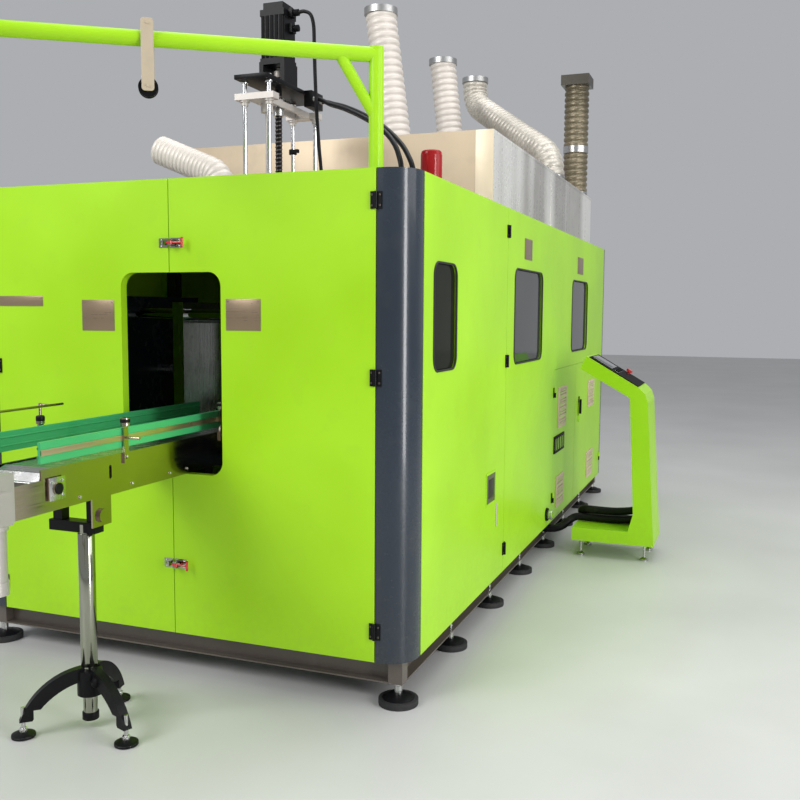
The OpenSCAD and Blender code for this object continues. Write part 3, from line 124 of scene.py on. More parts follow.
class Graph:
    """A material's node tree."""

    def __init__(self, name: str) -> None:
        """Makes an empty material with its shader."""
        self.material = bpy.data.materials.new(name)
        self.material.use_nodes = True
        self.tree = self.material.node_tree
        self.shader = self.tree.nodes["Principled BSDF"]

    def node(self, kind: str, inputs: dict | None = None, out: int | str = 0, **props) -> Socket:
        """Makes one node.

        Args:
            kind: the node's type without the ShaderNode prefix.
            inputs: values or sockets by input name or number.
            out: the output wanted.
            props: the node's own properties.

        Returns:
            The wanted output.
        """
        made = self.tree.nodes.new("ShaderNode" + kind)
        for key, value in props.items():
            setattr(made, key, value)
        for key, value in (inputs or {}).items():
            self.feed(made.inputs[key], value)
        return Socket(self, made.outputs[out])

    def feed(self, target: bpy.types.NodeSocket, value: object) -> None:
        """Links a socket to an input, or sets the input's value."""
        if isinstance(value, Socket):
            self.tree.links.new(value.socket, target)
        else:
            target.default_value = value

    def math(self, kind: str, a: Socket | float, b: Socket | float) -> Socket:
        """One Math node."""
        return self.node("Math", {0: a, 1: b}, operation=kind)

    def height(self) -> Socket:
        """A point's height above the floor in metres, with the machine at rest."""
        return self.node("SeparateXYZ", {0: self.node("TexCoord", out="Object")}, out="Z")

    def stretched(self, scale: Vec) -> Socket:
        """Object coordinates scaled along the axes."""
        place = self.node("TexCoord", out="Object")
        return self.node("VectorMath", {0: place, 1: scale}, operation="MULTIPLY")

    def noise(self, scale: float, stretch: Vec = (1, 1, 1), detail: float = 3.0) -> Socket:
        """Noise from 0 to 1 over the object's own coordinates."""
        where = self.stretched(tuple(scale * s for s in stretch))
        return self.node("TexNoise", {"Vector": where, "Scale": 1.0, "Detail": detail}, out=0)

    def ramp(self, value: Socket, low: float, high: float) -> Socket:
        """Moves low..high to 0..1, clamped."""
        return self.node("MapRange", {"Value": value, "From Min": low, "From Max": high}, out=0)

    def mix(self, factor: Socket | float, a: Socket | Colour, b: Socket | Colour) -> Socket:
        """Mixes two colours."""
        made = self.tree.nodes.new("ShaderNodeMix")
        made.data_type = "RGBA"
        for socket, value in ((made.inputs[0], factor), (made.inputs[6], a), (made.inputs[7], b)):
            self.feed(socket, value if isinstance(value, (Socket, float)) else (*value, 1.0))
        return Socket(self, made.outputs[2])


@dataclass(frozen=True)
class Finish:
    """A surface finish with its wear.

    Fields:
        shade: how much the colour drifts in broad patches.
        dirt: strength of the dust and grime.
        bump: height of the grain in metres.
        darkens_near_floor: mixes a dark brown into the colour in small patches, strongest below 0.1 m and
            gone above 0.5 m, and roughens them.
        spec: strength of the mirror-like reflection of paint and glass.
        bands: strength of the broad upright reflections in sheet metal.
        bands_top: height in metres above which the sheet lies flat and shows no bands.
    """

    name: str
    colour: Colour
    rough: float = 0.4
    metal: float = 0.0
    coat: float = 0.0
    grain: Grain = Grain.PLAIN
    shade: float = 0.06
    dirt: float = 0.15
    bump: float = 0.0
    darkens_near_floor: bool = False
    glow: float = 0.0
    spec: float = 0.5
    bands: float = 0.0
    bands_top: float = 2.5265

    def material(self) -> bpy.types.Material:
        """Builds the material."""
        g = Graph(self.name)
        broad = g.noise(1.7, detail=2.0)
        fine = g.noise(38.0, detail=4.0)
        dark = tuple(c * (1 - 2.2 * self.shade) for c in self.colour)
        haze = 0.3 * self.shade * max(self.colour)
        light = tuple(min(1.0, c * (1 + self.shade) + haze) for c in self.colour)
        colour = g.mix(g.ramp(broad, 0.3, 0.7), dark, light)
        rough = self.rough + (broad - 0.5) * 0.12 + (fine - 0.5) * 0.08
        spots = g.ramp(g.noise(9.0, detail=6.0), 0.55, 0.8) * self.dirt
        if self.darkens_near_floor:
            # Darker towards the floor, in small patches.
            spots = spots + (1.0 - g.ramp(g.height(), 0.1, 0.5)) * g.ramp(fine, 0.35, 0.7) * 0.08
        if self.grain in (Grain.BRUSH_X, Grain.BRUSH_Y, Grain.BRUSH_Z):
            axis = (Grain.BRUSH_X, Grain.BRUSH_Y, Grain.BRUSH_Z).index(self.grain)
            along = tuple(0.02 if i == axis else 1.0 for i in range(3))
            streak = g.noise(260.0, along, 2.0)
            wide = g.noise(21.0, along, 2.0)
            strength = 0.3 if self.bands else 1.0
            rough = rough + (streak - 0.5) * (0.22 * strength) + (wide - 0.5) * 0.15
            colour = g.mix(streak * (0.35 * strength), colour, dark)
            relief = streak
        elif self.grain is Grain.MOTTLE:
            cells = g.node("TexVoronoi", {"Vector": g.stretched((55, 55, 90)), "Scale": 1.0}, out=0)
            colour = g.mix(g.ramp(cells, 0.1, 0.7) * 0.6, colour, dark)
            relief = cells
        elif self.grain is Grain.PEEL:
            relief = g.noise(420.0, detail=1.0)
        else:
            relief = fine
        if self.bands:
            upright = 1.0 - g.ramp(g.height(), self.bands_top, self.bands_top + 0.0002)
            glare = g.ramp(g.noise(2.4, (1, 1, 0.05), 1.0), 0.46, 0.6) * upright * self.bands
            colour = g.mix(glare, colour, (0.95, 0.94, 0.9))
        colour = g.mix(spots, colour, (0.16, 0.14, 0.11))
        g.feed(g.shader.inputs["Base Color"], colour)
        g.feed(g.shader.inputs["Roughness"], g.math("MAXIMUM", rough + spots * 0.3, 0.04))
        for name, value in (("Metallic", self.metal), ("Coat Weight", self.coat),
                            ("Coat Roughness", 0.08), ("Specular IOR Level", self.spec)):
            g.feed(g.shader.inputs[name], value)
        if self.glow:
            g.feed(g.shader.inputs["Emission Color"], (*self.colour, 1))
            g.feed(g.shader.inputs["Emission Strength"], self.glow)
        if self.bump:
            lift = g.node("Bump", {"Height": relief, "Distance": self.bump, "Strength": 0.6})
            g.feed(g.shader.inputs["Normal"], lift)
        return g.material


FINISHES: dict[str, Finish] = {
    f.name: f
    for f in (
        Finish("lime", (0.36, 0.69, 0.011), 0.36, coat=0.06, grain=Grain.PEEL, shade=0.04,
               dirt=0.05, bump=0.0001, darkens_near_floor=True, spec=0.22),
        Finish("slate", (0.02, 0.029, 0.042), 0.26, coat=0.32, grain=Grain.PEEL, dirt=0.08,
               bump=0.00008, darkens_near_floor=True, spec=0.35),
        Finish("base_paint", (0.1, 0.08, 0.068), 0.36, coat=0.3, dirt=0.3, darkens_near_floor=True),
        Finish("rubber", (0.016, 0.016, 0.017), 0.75, bump=0.0006, dirt=0.3),
        Finish("seal", (0.012, 0.012, 0.013), 0.55),
        Finish("cable", (0.006, 0.006, 0.007), 0.42, spec=0.16),
        Finish("steel", (0.56, 0.56, 0.55), 0.24, 1.0, grain=Grain.BRUSH_Z, bump=0.0001),
        Finish("chrome", (0.72, 0.72, 0.72), 0.09, 1.0, dirt=0.05),
        Finish("polished", (0.46, 0.38, 0.3), 0.17, 1.0, grain=Grain.BRUSH_Y, bump=0.00005),
        Finish("tan_sheet", (0.66, 0.53, 0.37), 0.42, 0.15, grain=Grain.BRUSH_Z, shade=0.08, spec=0.3),
        Finish("hood_side", (0.5, 0.48, 0.45), 0.3, 0.5, grain=Grain.BRUSH_Z, shade=0.12, bands=0.8),
        Finish("galvanised", (0.5, 0.5, 0.49), 0.38, 1.0, grain=Grain.MOTTLE, dirt=0.3),
        Finish("duct", (0.7, 0.645, 0.585), 0.46, 0.15, shade=0.08, dirt=0.12),
        Finish("crumpled", (0.74, 0.69, 0.6), 0.38, 0.35, grain=Grain.MOTTLE, shade=0.22, dirt=0.2),
        Finish("foil", (0.3, 0.25, 0.16), 0.36, 0.5, grain=Grain.MOTTLE, shade=0.26, dirt=0.3),
        Finish("dark_sheet", (0.05, 0.045, 0.035), 0.4, 0.6, dirt=0.3),
        Finish("pale_sheet", (0.84, 0.72, 0.52), 0.4, 0.15, grain=Grain.BRUSH_Z, spec=0.3),
        Finish("dark_steel", (0.13, 0.11, 0.1), 0.32, 0.85, dirt=0.2),
        Finish("dark_chrome", (0.36, 0.37, 0.3), 0.12, 1.0, dirt=0.08),
        Finish("grey_cast", (0.42, 0.4, 0.37), 0.36, 0.5, bump=0.0002, dirt=0.2),
        Finish("black", (0.006, 0.006, 0.007), 0.4, coat=0.03, bump=0.00004, spec=0.12, dirt=0.02),
        Finish("black_matt", (0.006, 0.006, 0.007), 0.6, bump=0.0002, spec=0.1, dirt=0.02),
        Finish("red", (0.62, 0.02, 0.02), 0.25, coat=0.5),
        Finish("beacon", (0.36, 0.006, 0.009), 0.2, coat=0.05, glow=0.03, spec=0.25),
        Finish("glass", (0.034, 0.036, 0.036), 0.06, dirt=0.06, shade=0.1, spec=0.3),
        Finish("dark_glass", (0.016, 0.018, 0.012), 0.08, dirt=0.03, shade=0.1, spec=0.03),
        Finish("olive", (0.09, 0.1, 0.045), 0.5, coat=0.2, dirt=0.15),
        Finish("screen", (0.01, 0.014, 0.02), 0.08, coat=1.0),
        Finish("beige", (0.5, 0.42, 0.3), 0.45, dirt=0.2),
        Finish("filter", (0.6, 0.46, 0.36), 0.6, shade=0.1),
        Finish("white_cast", (0.56, 0.52, 0.48), 0.4, 0.2, bump=0.0002, dirt=0.15),
        # Steel tinted olive-cream: a painted reflection of its surroundings.
        Finish("steel_with_painted_reflection", (0.5, 0.42, 0.22), 0.3, 0.8),
        Finish("guide_green", (0.05, 0.42, 0.15), 0.35, dirt=0.1),
        Finish("plate", (0.31, 0.23, 0.15), 0.34, 0.6, grain=Grain.BRUSH_X),
    )
}

MATERIALS: dict[str, bpy.types.Material] = {}


def finish_of(name: str) -> bpy.types.Material:
    """Returns the named finish's material, built once."""
    if name not in MATERIALS:
        MATERIALS[name] = FINISHES[name].material()
    return MATERIALS[name]


class Shape:
    """Gathers closed shells of vertices and faces for one piece."""

    def __init__(self) -> None:
        """Starts without any shell."""
        self.verts: list[np.ndarray] = []
        self.faces: list[tuple[int, ...]] = []
        self.count = 0

    def add(self, verts: np.ndarray, faces: Iterable[Sequence[int]]) -> "Shape":
        """Adds vertices and the faces between them."""
        base = self.count
        self.verts.append(np.asarray(verts, float).reshape(-1, 3))
        self.count += len(self.verts[-1])
        self.faces.extend(tuple(int(i) + base for i in f) for f in faces)
        return self

    def join(self, other: "Shape") -> "Shape":
        """Adds another shape's shells."""
        return self.add(np.concatenate(other.verts), other.faces)

    def box(self, a: Vec, b: Vec) -> "Shape":
        """A block between two opposite corners, which may be named in any order."""
        verts = list(product(*map(sorted, zip(a, b))))
        faces = [(0, 1, 3, 2), (4, 6, 7, 5), (0, 4, 5, 1), (2, 3, 7, 6), (0, 2, 6, 4), (1, 5, 7, 3)]
        return self.add(np.array(verts), faces)

    def rings(self, rings: np.ndarray, closed: bool = False) -> "Shape":
        """Joins rings of equal length into a tube, capped at the ends unless closed.

        Args:
            rings: array of shape (rings, points, 3).
            closed: the last ring joins the first.
        """
        n, m = rings.shape[:2]
        faces: list[tuple[int, ...]] = []
        for i in range(n if closed else n - 1):
            a, b = i * m, (i + 1) % n * m
            faces += [(a + k, b + k, b + (k + 1) % m, a + (k + 1) % m) for k in range(m)]
        if not closed:
            faces += [tuple(range(m)), tuple(range((n - 1) * m, n * m))[::-1]]
        return self.add(rings, faces)

    def lathe(self, at: Vec, axis: Vec, profile: Sequence[tuple[float, float]], n: int = 32) -> "Shape":
        """Turns a profile of (radius, height) round an axis; both ends are capped."""
        w = Vector(axis).normalized()
        u = w.orthogonal().normalized()
        v = w.cross(u)
        t = np.linspace(0, 2 * math.pi, n, endpoint=False)
        ring = np.outer(np.cos(t), u) + np.outer(np.sin(t), v)
        rings = np.array([np.array(at) + r * ring + h * np.array(w) for r, h in profile])
        return self.rings(rings[:, ::-1])

    def rod(self, a: Vec, b: Vec, r: float, n: int = 40, edge: float = 0.001) -> "Shape":
        """A round bar between two points, with a chamfer at each end."""
        way = Vector(b) - Vector(a)
        end = way.length
        return self.lathe(a, tuple(way), [(r - edge, 0), (r, edge), (r, end - edge), (r - edge, end)], n)

    def sweep(self, path: np.ndarray, outline: np.ndarray, closed: bool = False,
              up: Vec = UP) -> "Shape":
        """Moves an outline along a path, square to it.

        Each ring's sideways direction is the cross product of the path's direction and up,
        and its upright direction is square to both.
        """
        path = np.asarray(path, float)
        if closed:
            tangent = np.roll(path, -1, 0) - np.roll(path, 1, 0)
        else:
            tangent = np.gradient(path, axis=0)
        tangent /= np.linalg.norm(tangent, axis=1)[:, None]
        side = np.cross(tangent, np.array(up, float))
        side /= np.linalg.norm(side, axis=1)[:, None]
        top = np.cross(side, tangent)
        rings = (path[:, None] + outline[None, :, :1] * side[:, None]
                 + outline[None, :, 1:] * top[:, None])
        return self.rings(rings, closed)

    def make(self, name: str, finish: str, body: str = "cabinet", bevel: float = 0.0,
             smooth: float = 35.0) -> bpy.types.Object:
        """Makes the object.

        Args:
            name: the piece's name.
            finish: name of its finish.
            body: the CAD body it rides on.
            bevel: width of the edge rounding.
            smooth: edges flatter than this angle shade smooth.
        """
        mesh = bpy.data.meshes.new(name)
        mesh.from_pydata(np.concatenate(self.verts).tolist(), [], self.faces)
        if bevel:
            work = bmesh.new()
            work.from_mesh(mesh)
            sharp = [e for e in work.edges if len(e.link_faces) == 2
                     and e.calc_face_angle(0) > math.radians(35)]
            bmesh.ops.bevel(work, geom=sharp, offset=bevel, segments=2, profile=0.5,
                            affect="EDGES", clamp_overlap=True)
            work.to_mesh(mesh)
            work.free()
        mesh.shade_smooth()
        mesh.set_sharp_from_angle(angle=math.radians(smooth))
        mesh.materials.append(finish_of(finish))
        made = bpy.data.objects.new(name, mesh)
        bpy.context.scene.collection.objects.link(made)
        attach(made, body)
        return made


def circle(r: float, n: int = 16) -> np.ndarray:
    """Points on a circle."""
    t = np.linspace(0, 2 * math.pi, n, endpoint=False)
    return np.stack([r * np.cos(t), r * np.sin(t)], 1)


def rounded_rect(w: float, h: float, r: float, n: int = 8) -> np.ndarray:
    """Outline of a rounded rectangle about the origin, counter-clockwise."""
    out = []
    for i, (sx, sy) in enumerate(((1, 1), (-1, 1), (-1, -1), (1, -1))):
        t = np.linspace(i * math.pi / 2, (i + 1) * math.pi / 2, n)
        out.append(np.stack([sx * (w / 2 - r) + r * np.cos(t), sy * (h / 2 - r) + r * np.sin(t)], 1))
    return np.concatenate(out)


def spline(points: Sequence[Vec], n: int) -> np.ndarray:
    """A smooth path: uniform cubics through four neighbours, n steps in each stretch."""
    p = np.array(points, float)
    q = np.concatenate([p[:1], p, p[-1:]])
    u = (np.arange(n) / n)[:, None]
    out = [0.5 * (2 * b + (c - a) * u + (2 * a - 5 * b + 4 * c - d) * u**2
                  + (3 * b - a - 3 * c + d) * u**3) for a, b, c, d in zip(q, q[1:], q[2:], q[3:])]
    return np.concatenate(out + [p[-1:]])


class Face(Enum):
    """A side of the cabinet, with the directions that lie on it."""

    FRONT = "front"
    RIGHT = "right"

    def at(self, u: float, z: float, out: float) -> Vec:
        """A place on the face: u along it, z up, out away from it."""
        if self is Face.FRONT:
            return (u, FRONT - out, z)
        return (HALF_W + out, u, z)

    @property
    def normal(self) -> Vec:
        """The way out of the face."""
        return FORWARD if self is Face.FRONT else RIGHTWARD

    def slab(self, shape: Shape, u0: float, u1: float, z0: float, z1: float, a: float, b: float) -> Shape:
        """Adds a block that stands on the face from a to b out of it."""
        return shape.box(self.at(u0, z0, a), self.at(u1, z1, b))

    def loop(self, outline: np.ndarray, u: float, z: float, out: float) -> np.ndarray:
        """Lays a 2-D outline on the face."""
        return np.array([self.at(u + a, z + b, out) for a, b in outline])


def turned(places: Iterable[Vec], axis: Vec, profile: Sequence[tuple[float, float]], n: int) -> Shape:
    """The same turned part at each place."""
    shape = Shape()
    for p in places:
        shape.lathe(p, axis, profile, n)
    return shape


def screws(places: Iterable[Vec], normal: Vec, r: float, h: float) -> Shape:
    """Socket screw heads: each has a rim, and a hollow in the middle."""
    head = [(r, 0), (r, h * 0.8), (r * 0.9, h), (r * 0.5, h), (r * 0.45, h * 0.4)]
    return turned(places, normal, head, 16)


@dataclass
class Dresser:
    """Gives finishes to the CAD nodes, which are listed by finish."""

    nodes: dict[str, tuple[str, ...]] = field(default_factory=lambda: {
        "base_paint": ("base_frame",),
        "rubber": ("foot_pads",),
        "steel": ("levelling_studs", "screw_nut", "platen_left", "platen_right", "preform_rail",
                  "slat_chain", "drive_shaft", "tail_shaft"),
        "slate": ("frame_posts", "top_rails", "corner_posts", "clamp_frame"),
        "galvanised": ("roof_panels", "duct_collars", "oven_banks"),
        "lime": ("left_panels", "rear_panel", "right_panel", "side_door", "front_door_left",
                 "front_door_right", "panel_door_left", "panel_door_right", "jib_post", "jib_arm",
                 "console_body"),
        "glass": ("side_windows",),
        "dark_glass": ("side_door_window",),
        "black": ("fixed_hinge_leaves", "side_door_hinges", "left_door_hinges",
                  "right_door_hinges", "trolley_roller", "trolley_pulley", "servo_motor",
                  "ball_screw", "stand_base"),
        "dark_chrome": ("latch_keepers", "latch_bases", "stand_column"),
        "red": ("latch_handle_upper", "latch_handle_lower", "emergency_button"),
        "black_matt": ("swing_handle", "console_panel"),
        "hood_side": ("exhaust_hood",),
        "duct": ("exhaust_ducts",),
        "beacon": ("beacon",),
        "beige": ("trolley_frame",),
        "chrome": ("stretch_columns", "tie_bars"),
        "white_cast": ("stretch_carriage",),
        "polished": ("conveyor_frame",),
        "guide_green": ("guide_rails",),
        "grey_cast": ("gearmotor",)})

    def dress(self, frame: dict) -> None:
        """Puts a finish on each node's mesh."""
        for finish, names in self.nodes.items():
            for name in names:
                node = frame["nodes"][name]
                node.data.materials.clear()
                node.data.materials.append(finish_of(finish))


@dataclass
class Ducts:
    """The ribbed exhaust ducts with their clamps."""

    radius: float = 0.1
    leaning: tuple = (((0.1, -0.06), (-0.045, -0.01)), ((0.06, 1.28), (-0.044, 1.265)))
    bend_from: Vec = (0.838, 1.15, DUCT_FOOT)
    bend_to: Vec = (0.03, 1.9, DUCT_TOP)
    upright: tuple[float, float] = (0.838, 2.133)
    stub_from: Vec = (0.03, -2.085, ROOF)
    collar_half: float = 0.1125
    collar_z: tuple[float, float] = (3.4195, 3.5)

    @staticmethod
    def bend_over(start: Vec, across: np.ndarray, tail: float, r: float, turn: float, slant: float,
                  n: int, m: int) -> np.ndarray:
        """A path that goes straight up, bends over by an angle in degrees and goes on at a slant."""
        up, p = np.array([0, 0, 1.0]), np.array(start, float)
        t = np.radians(turn) * np.linspace(0, 1, n + 1)[:, None]
        u = slant * np.linspace(0, 1, m + 1)[1:, None]
        w = np.radians(turn)
        bend = p + across * r * (1 - np.cos(t)) + up * (tail + r * np.sin(t))
        sideways = r * (1 - np.cos(w)) + u * np.sin(w)
        upward = tail + r * np.sin(w) + u * np.cos(w)
        rest = p + across * sideways + up * upward
        return np.concatenate([p[None], bend, rest])

    def bend_path(self) -> np.ndarray:
        """The bent duct's path: up, over, along a slant and up again."""
        a, b, r, turn = np.array(self.bend_from), np.array(self.bend_to), 0.22, 62.0
        flat = (b - a) * (1, 1, 0)
        run = float(np.linalg.norm(flat))
        w = math.radians(turn)
        slant = (run - 2 * r * (1 - math.cos(w))) / math.sin(w)
        tail = (b[2] - a[2] - 2 * r * math.sin(w) - slant * math.cos(w)) / 2
        half = self.bend_over(self.bend_from, flat / run, tail, r, turn, slant / 2, 24, 40)
        return np.concatenate([half, (a + b - half)[-2::-1]])

    def ribbed(self, shape: Shape, path: np.ndarray, radius: float, pitch: float = 0.046,
               rib: float = 0.009, level_ends: bool = True) -> Shape:
        """Adds a ribbed tube with a wall.

        The radius at a length s along the path is the full radius less a groove: the rib's height
        times a power of the raised cosine of s over the pitch, which makes the groove narrow.
        The rings near a level end stay flat.
        """
        steps = np.linalg.norm(np.diff(path, axis=0), axis=1)
        s = np.concatenate([[0], np.cumsum(steps)])
        count = int(s[-1] / pitch) * 12
        at = np.linspace(0, s[-1], count + 1)
        p = np.stack([np.interp(at, s, path[:, i]) for i in range(3)], 1)
        t = np.gradient(p, axis=0)
        t /= np.linalg.norm(t, axis=1)[:, None]
        side = np.cross(t, [0, 1, 0.2])
        side /= np.linalg.norm(side, axis=1)[:, None]
        top = np.cross(side, t)
        r = radius - rib * (0.5 - 0.5 * np.cos(2 * np.pi * at / pitch)) ** 2.2
        a = np.linspace(0, 2 * math.pi, 40, endpoint=False)
        unit_ring = np.cos(a)[None, :, None] * side[:, None] + np.sin(a)[None, :, None] * top[:, None]
        outer = p[:, None] + r[:, None, None] * unit_ring
        inner = (p[:, None] + (radius - rib - 0.003) * unit_ring)[::-3]
        if level_ends:
            for rings in (outer, inner):
                rings[..., 2] = np.clip(rings[..., 2], path[0, 2], path[-1, 2])
        return shape.rings(np.concatenate([outer, inner]), closed=True)

    def build(self) -> None:
        """Makes the ducts and hides the CAD's."""
        shape = Shape()
        for a, b in self.leaning:
            self.ribbed(shape, np.linspace((*a, DUCT_FOOT), (*b, DUCT_TOP), 60), self.radius)
        ducts = shape.make("ribbed_ducts", "duct", smooth=60)
        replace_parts(ducts, "exhaust_ducts")
        self.ribbed(Shape(), self.bend_path(), self.radius).make("bent_duct", "crumpled", smooth=60)
        path = np.linspace((*self.upright, DUCT_FOOT), (*self.upright, 3.42), 40)
        self.ribbed(Shape(), path, self.radius).make("foil_duct", "foil", smooth=60)
        path = self.bend_over(self.stub_from, np.array([-1.0, 0, 0]), 0.01, 0.075, 68, 0.29, 16, 30)
        self.ribbed(Shape(), path, 0.065, 0.021, 0.004, False).make("stub_duct", "duct", smooth=60)
        self.clamps()
        self.square_collar()

    def clamps(self) -> None:
        """A band round the foot of each duct, and a wider one on the upright duct."""
        bands = Shape()
        foot = [(0.1005, 0.012), (0.1025, 0.012), (0.1025, 0.03), (0.1005, 0.03)]
        wide = [(0.1005, 0), (0.103, 0.002), (0.103, 0.055), (0.1005, 0.057)]
        for x, y in (self.leaning[0][0], self.leaning[1][0], self.bend_from[:2], self.upright):
            bands.lathe((x, y, DUCT_FOOT), UP, foot, 48)
        bands.lathe((*self.upright, 2.88), UP, wide, 48)
        bands.make("duct_clamps", "steel")

    def square_collar(self) -> None:
        """Four thin walls round the square collar of the upright duct."""
        square = Shape()
        x, y = self.upright
        inner, outer = self.collar_half, self.collar_half + 0.001
        low, high = self.collar_z
        for a, b in ((-outer, -inner), (inner, outer)):
            square.box((x + a, y - outer, low), (x + b, y + outer, high))
            square.box((x - inner, y + a, low), (x + inner, y + b, high))
        square.make("square_collar_skin", "dark_sheet")


@dataclass
class Cords:
    """The hoses and cables: each follows the same points as the CAD."""

    hose_a: Rows = ((0.13, -1.345, 2.64), (0.165, -1.353, 2.635), (0.225, -1.41, 2.606),
                    (0.31, -1.52, 2.563), (0.45, -1.666, 2.503), (0.62, -1.837, 2.418),
                    (0.77, -1.992, 2.33), (0.858, -2.08, 2.252), (0.898, -2.12, 2.185),
                    (0.91, -2.13, 2.14), (0.91, -2.13, 2.116))
    hose_b: Rows = ((0.13, -1.27, 2.64), (0.168, -1.278, 2.637), (0.245, -1.35, 2.607),
                    (0.39, -1.529, 2.545), (0.563, -1.705, 2.461), (0.729, -1.873, 2.365),
                    (0.855, -1.998, 2.268), (0.918, -2.062, 2.195), (0.945, -2.09, 2.145),
                    (0.945, -2.09, 2.116))
    motor: Rows = ((0.114, -1.48, 3.03), (0.145, -1.48, 3.032), (0.18, -1.481, 3.013),
                   (0.196, -1.48, 2.96), (0.199, -1.479, 2.87), (0.202, -1.478, 2.74),
                   (0.209, -1.477, 2.57), (0.221, -1.476, 2.39), (0.239, -1.476, 2.21),
                   (0.25, -1.476, 2.1), (0.253, -1.476, 2.036))
    bundle: Rows = ((1.608, 0.35, 0.234), (1.56, 0.35, 0.222), (1.48, 0.352, 0.216),
                    (1.38, 0.356, 0.215), (1.29, 0.358, 0.215), (1.228, 0.352, 0.215),
                    (1.188, 0.338, 0.194), (1.148, 0.313, 0.158), (1.105, 0.296, 0.139),
                    (1.06, 0.29, 0.134), (1.02, 0.288, 0.133), (0.986, 0.288, 0.133))
    slack: Rows = ((1.618, 0.35, 0.291), (1.56, 0.35, 0.28), (1.48, 0.35, 0.271), (1.39, 0.352, 0.27),
                   (1.31, 0.361, 0.27), (1.268, 0.38, 0.265), (1.252, 0.4, 0.248), (1.262, 0.414, 0.23),
                   (1.31, 0.417, 0.218), (1.4, 0.415, 0.215), (1.5, 0.411, 0.215), (1.58, 0.406, 0.216),
                   (1.618, 0.404, 0.219))

    def tube(self, name: str, route: Sequence[Vec], d: float, node: str | None) -> None:
        """Makes one cord; its length is worked out but not used."""
        path = spline(route, 10)
        shape = Shape().sweep(path, circle(d / 2, 14), up=(0.1, 1, 0.3))
        cord = shape.make(name, "cable", smooth=60)
        length = float(np.linalg.norm(np.diff(spline(route, 3), axis=0), axis=1).sum())
        if node:
            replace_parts(cord, node)
        [tuple(p) for p in spline(route, 3)]

    def build(self) -> None:
        """Makes every cord."""
        self.tube("air_hose_near", self.hose_a, 0.022, "air_hoses")
        self.tube("air_hose_far", self.hose_b, 0.022, None)
        self.tube("servo_cable", self.motor, 0.018, "motor_cable")
        self.tube("console_bundle", self.bundle, 0.05, "console_cables")
        self.tube("console_slack", self.slack, 0.05, None)


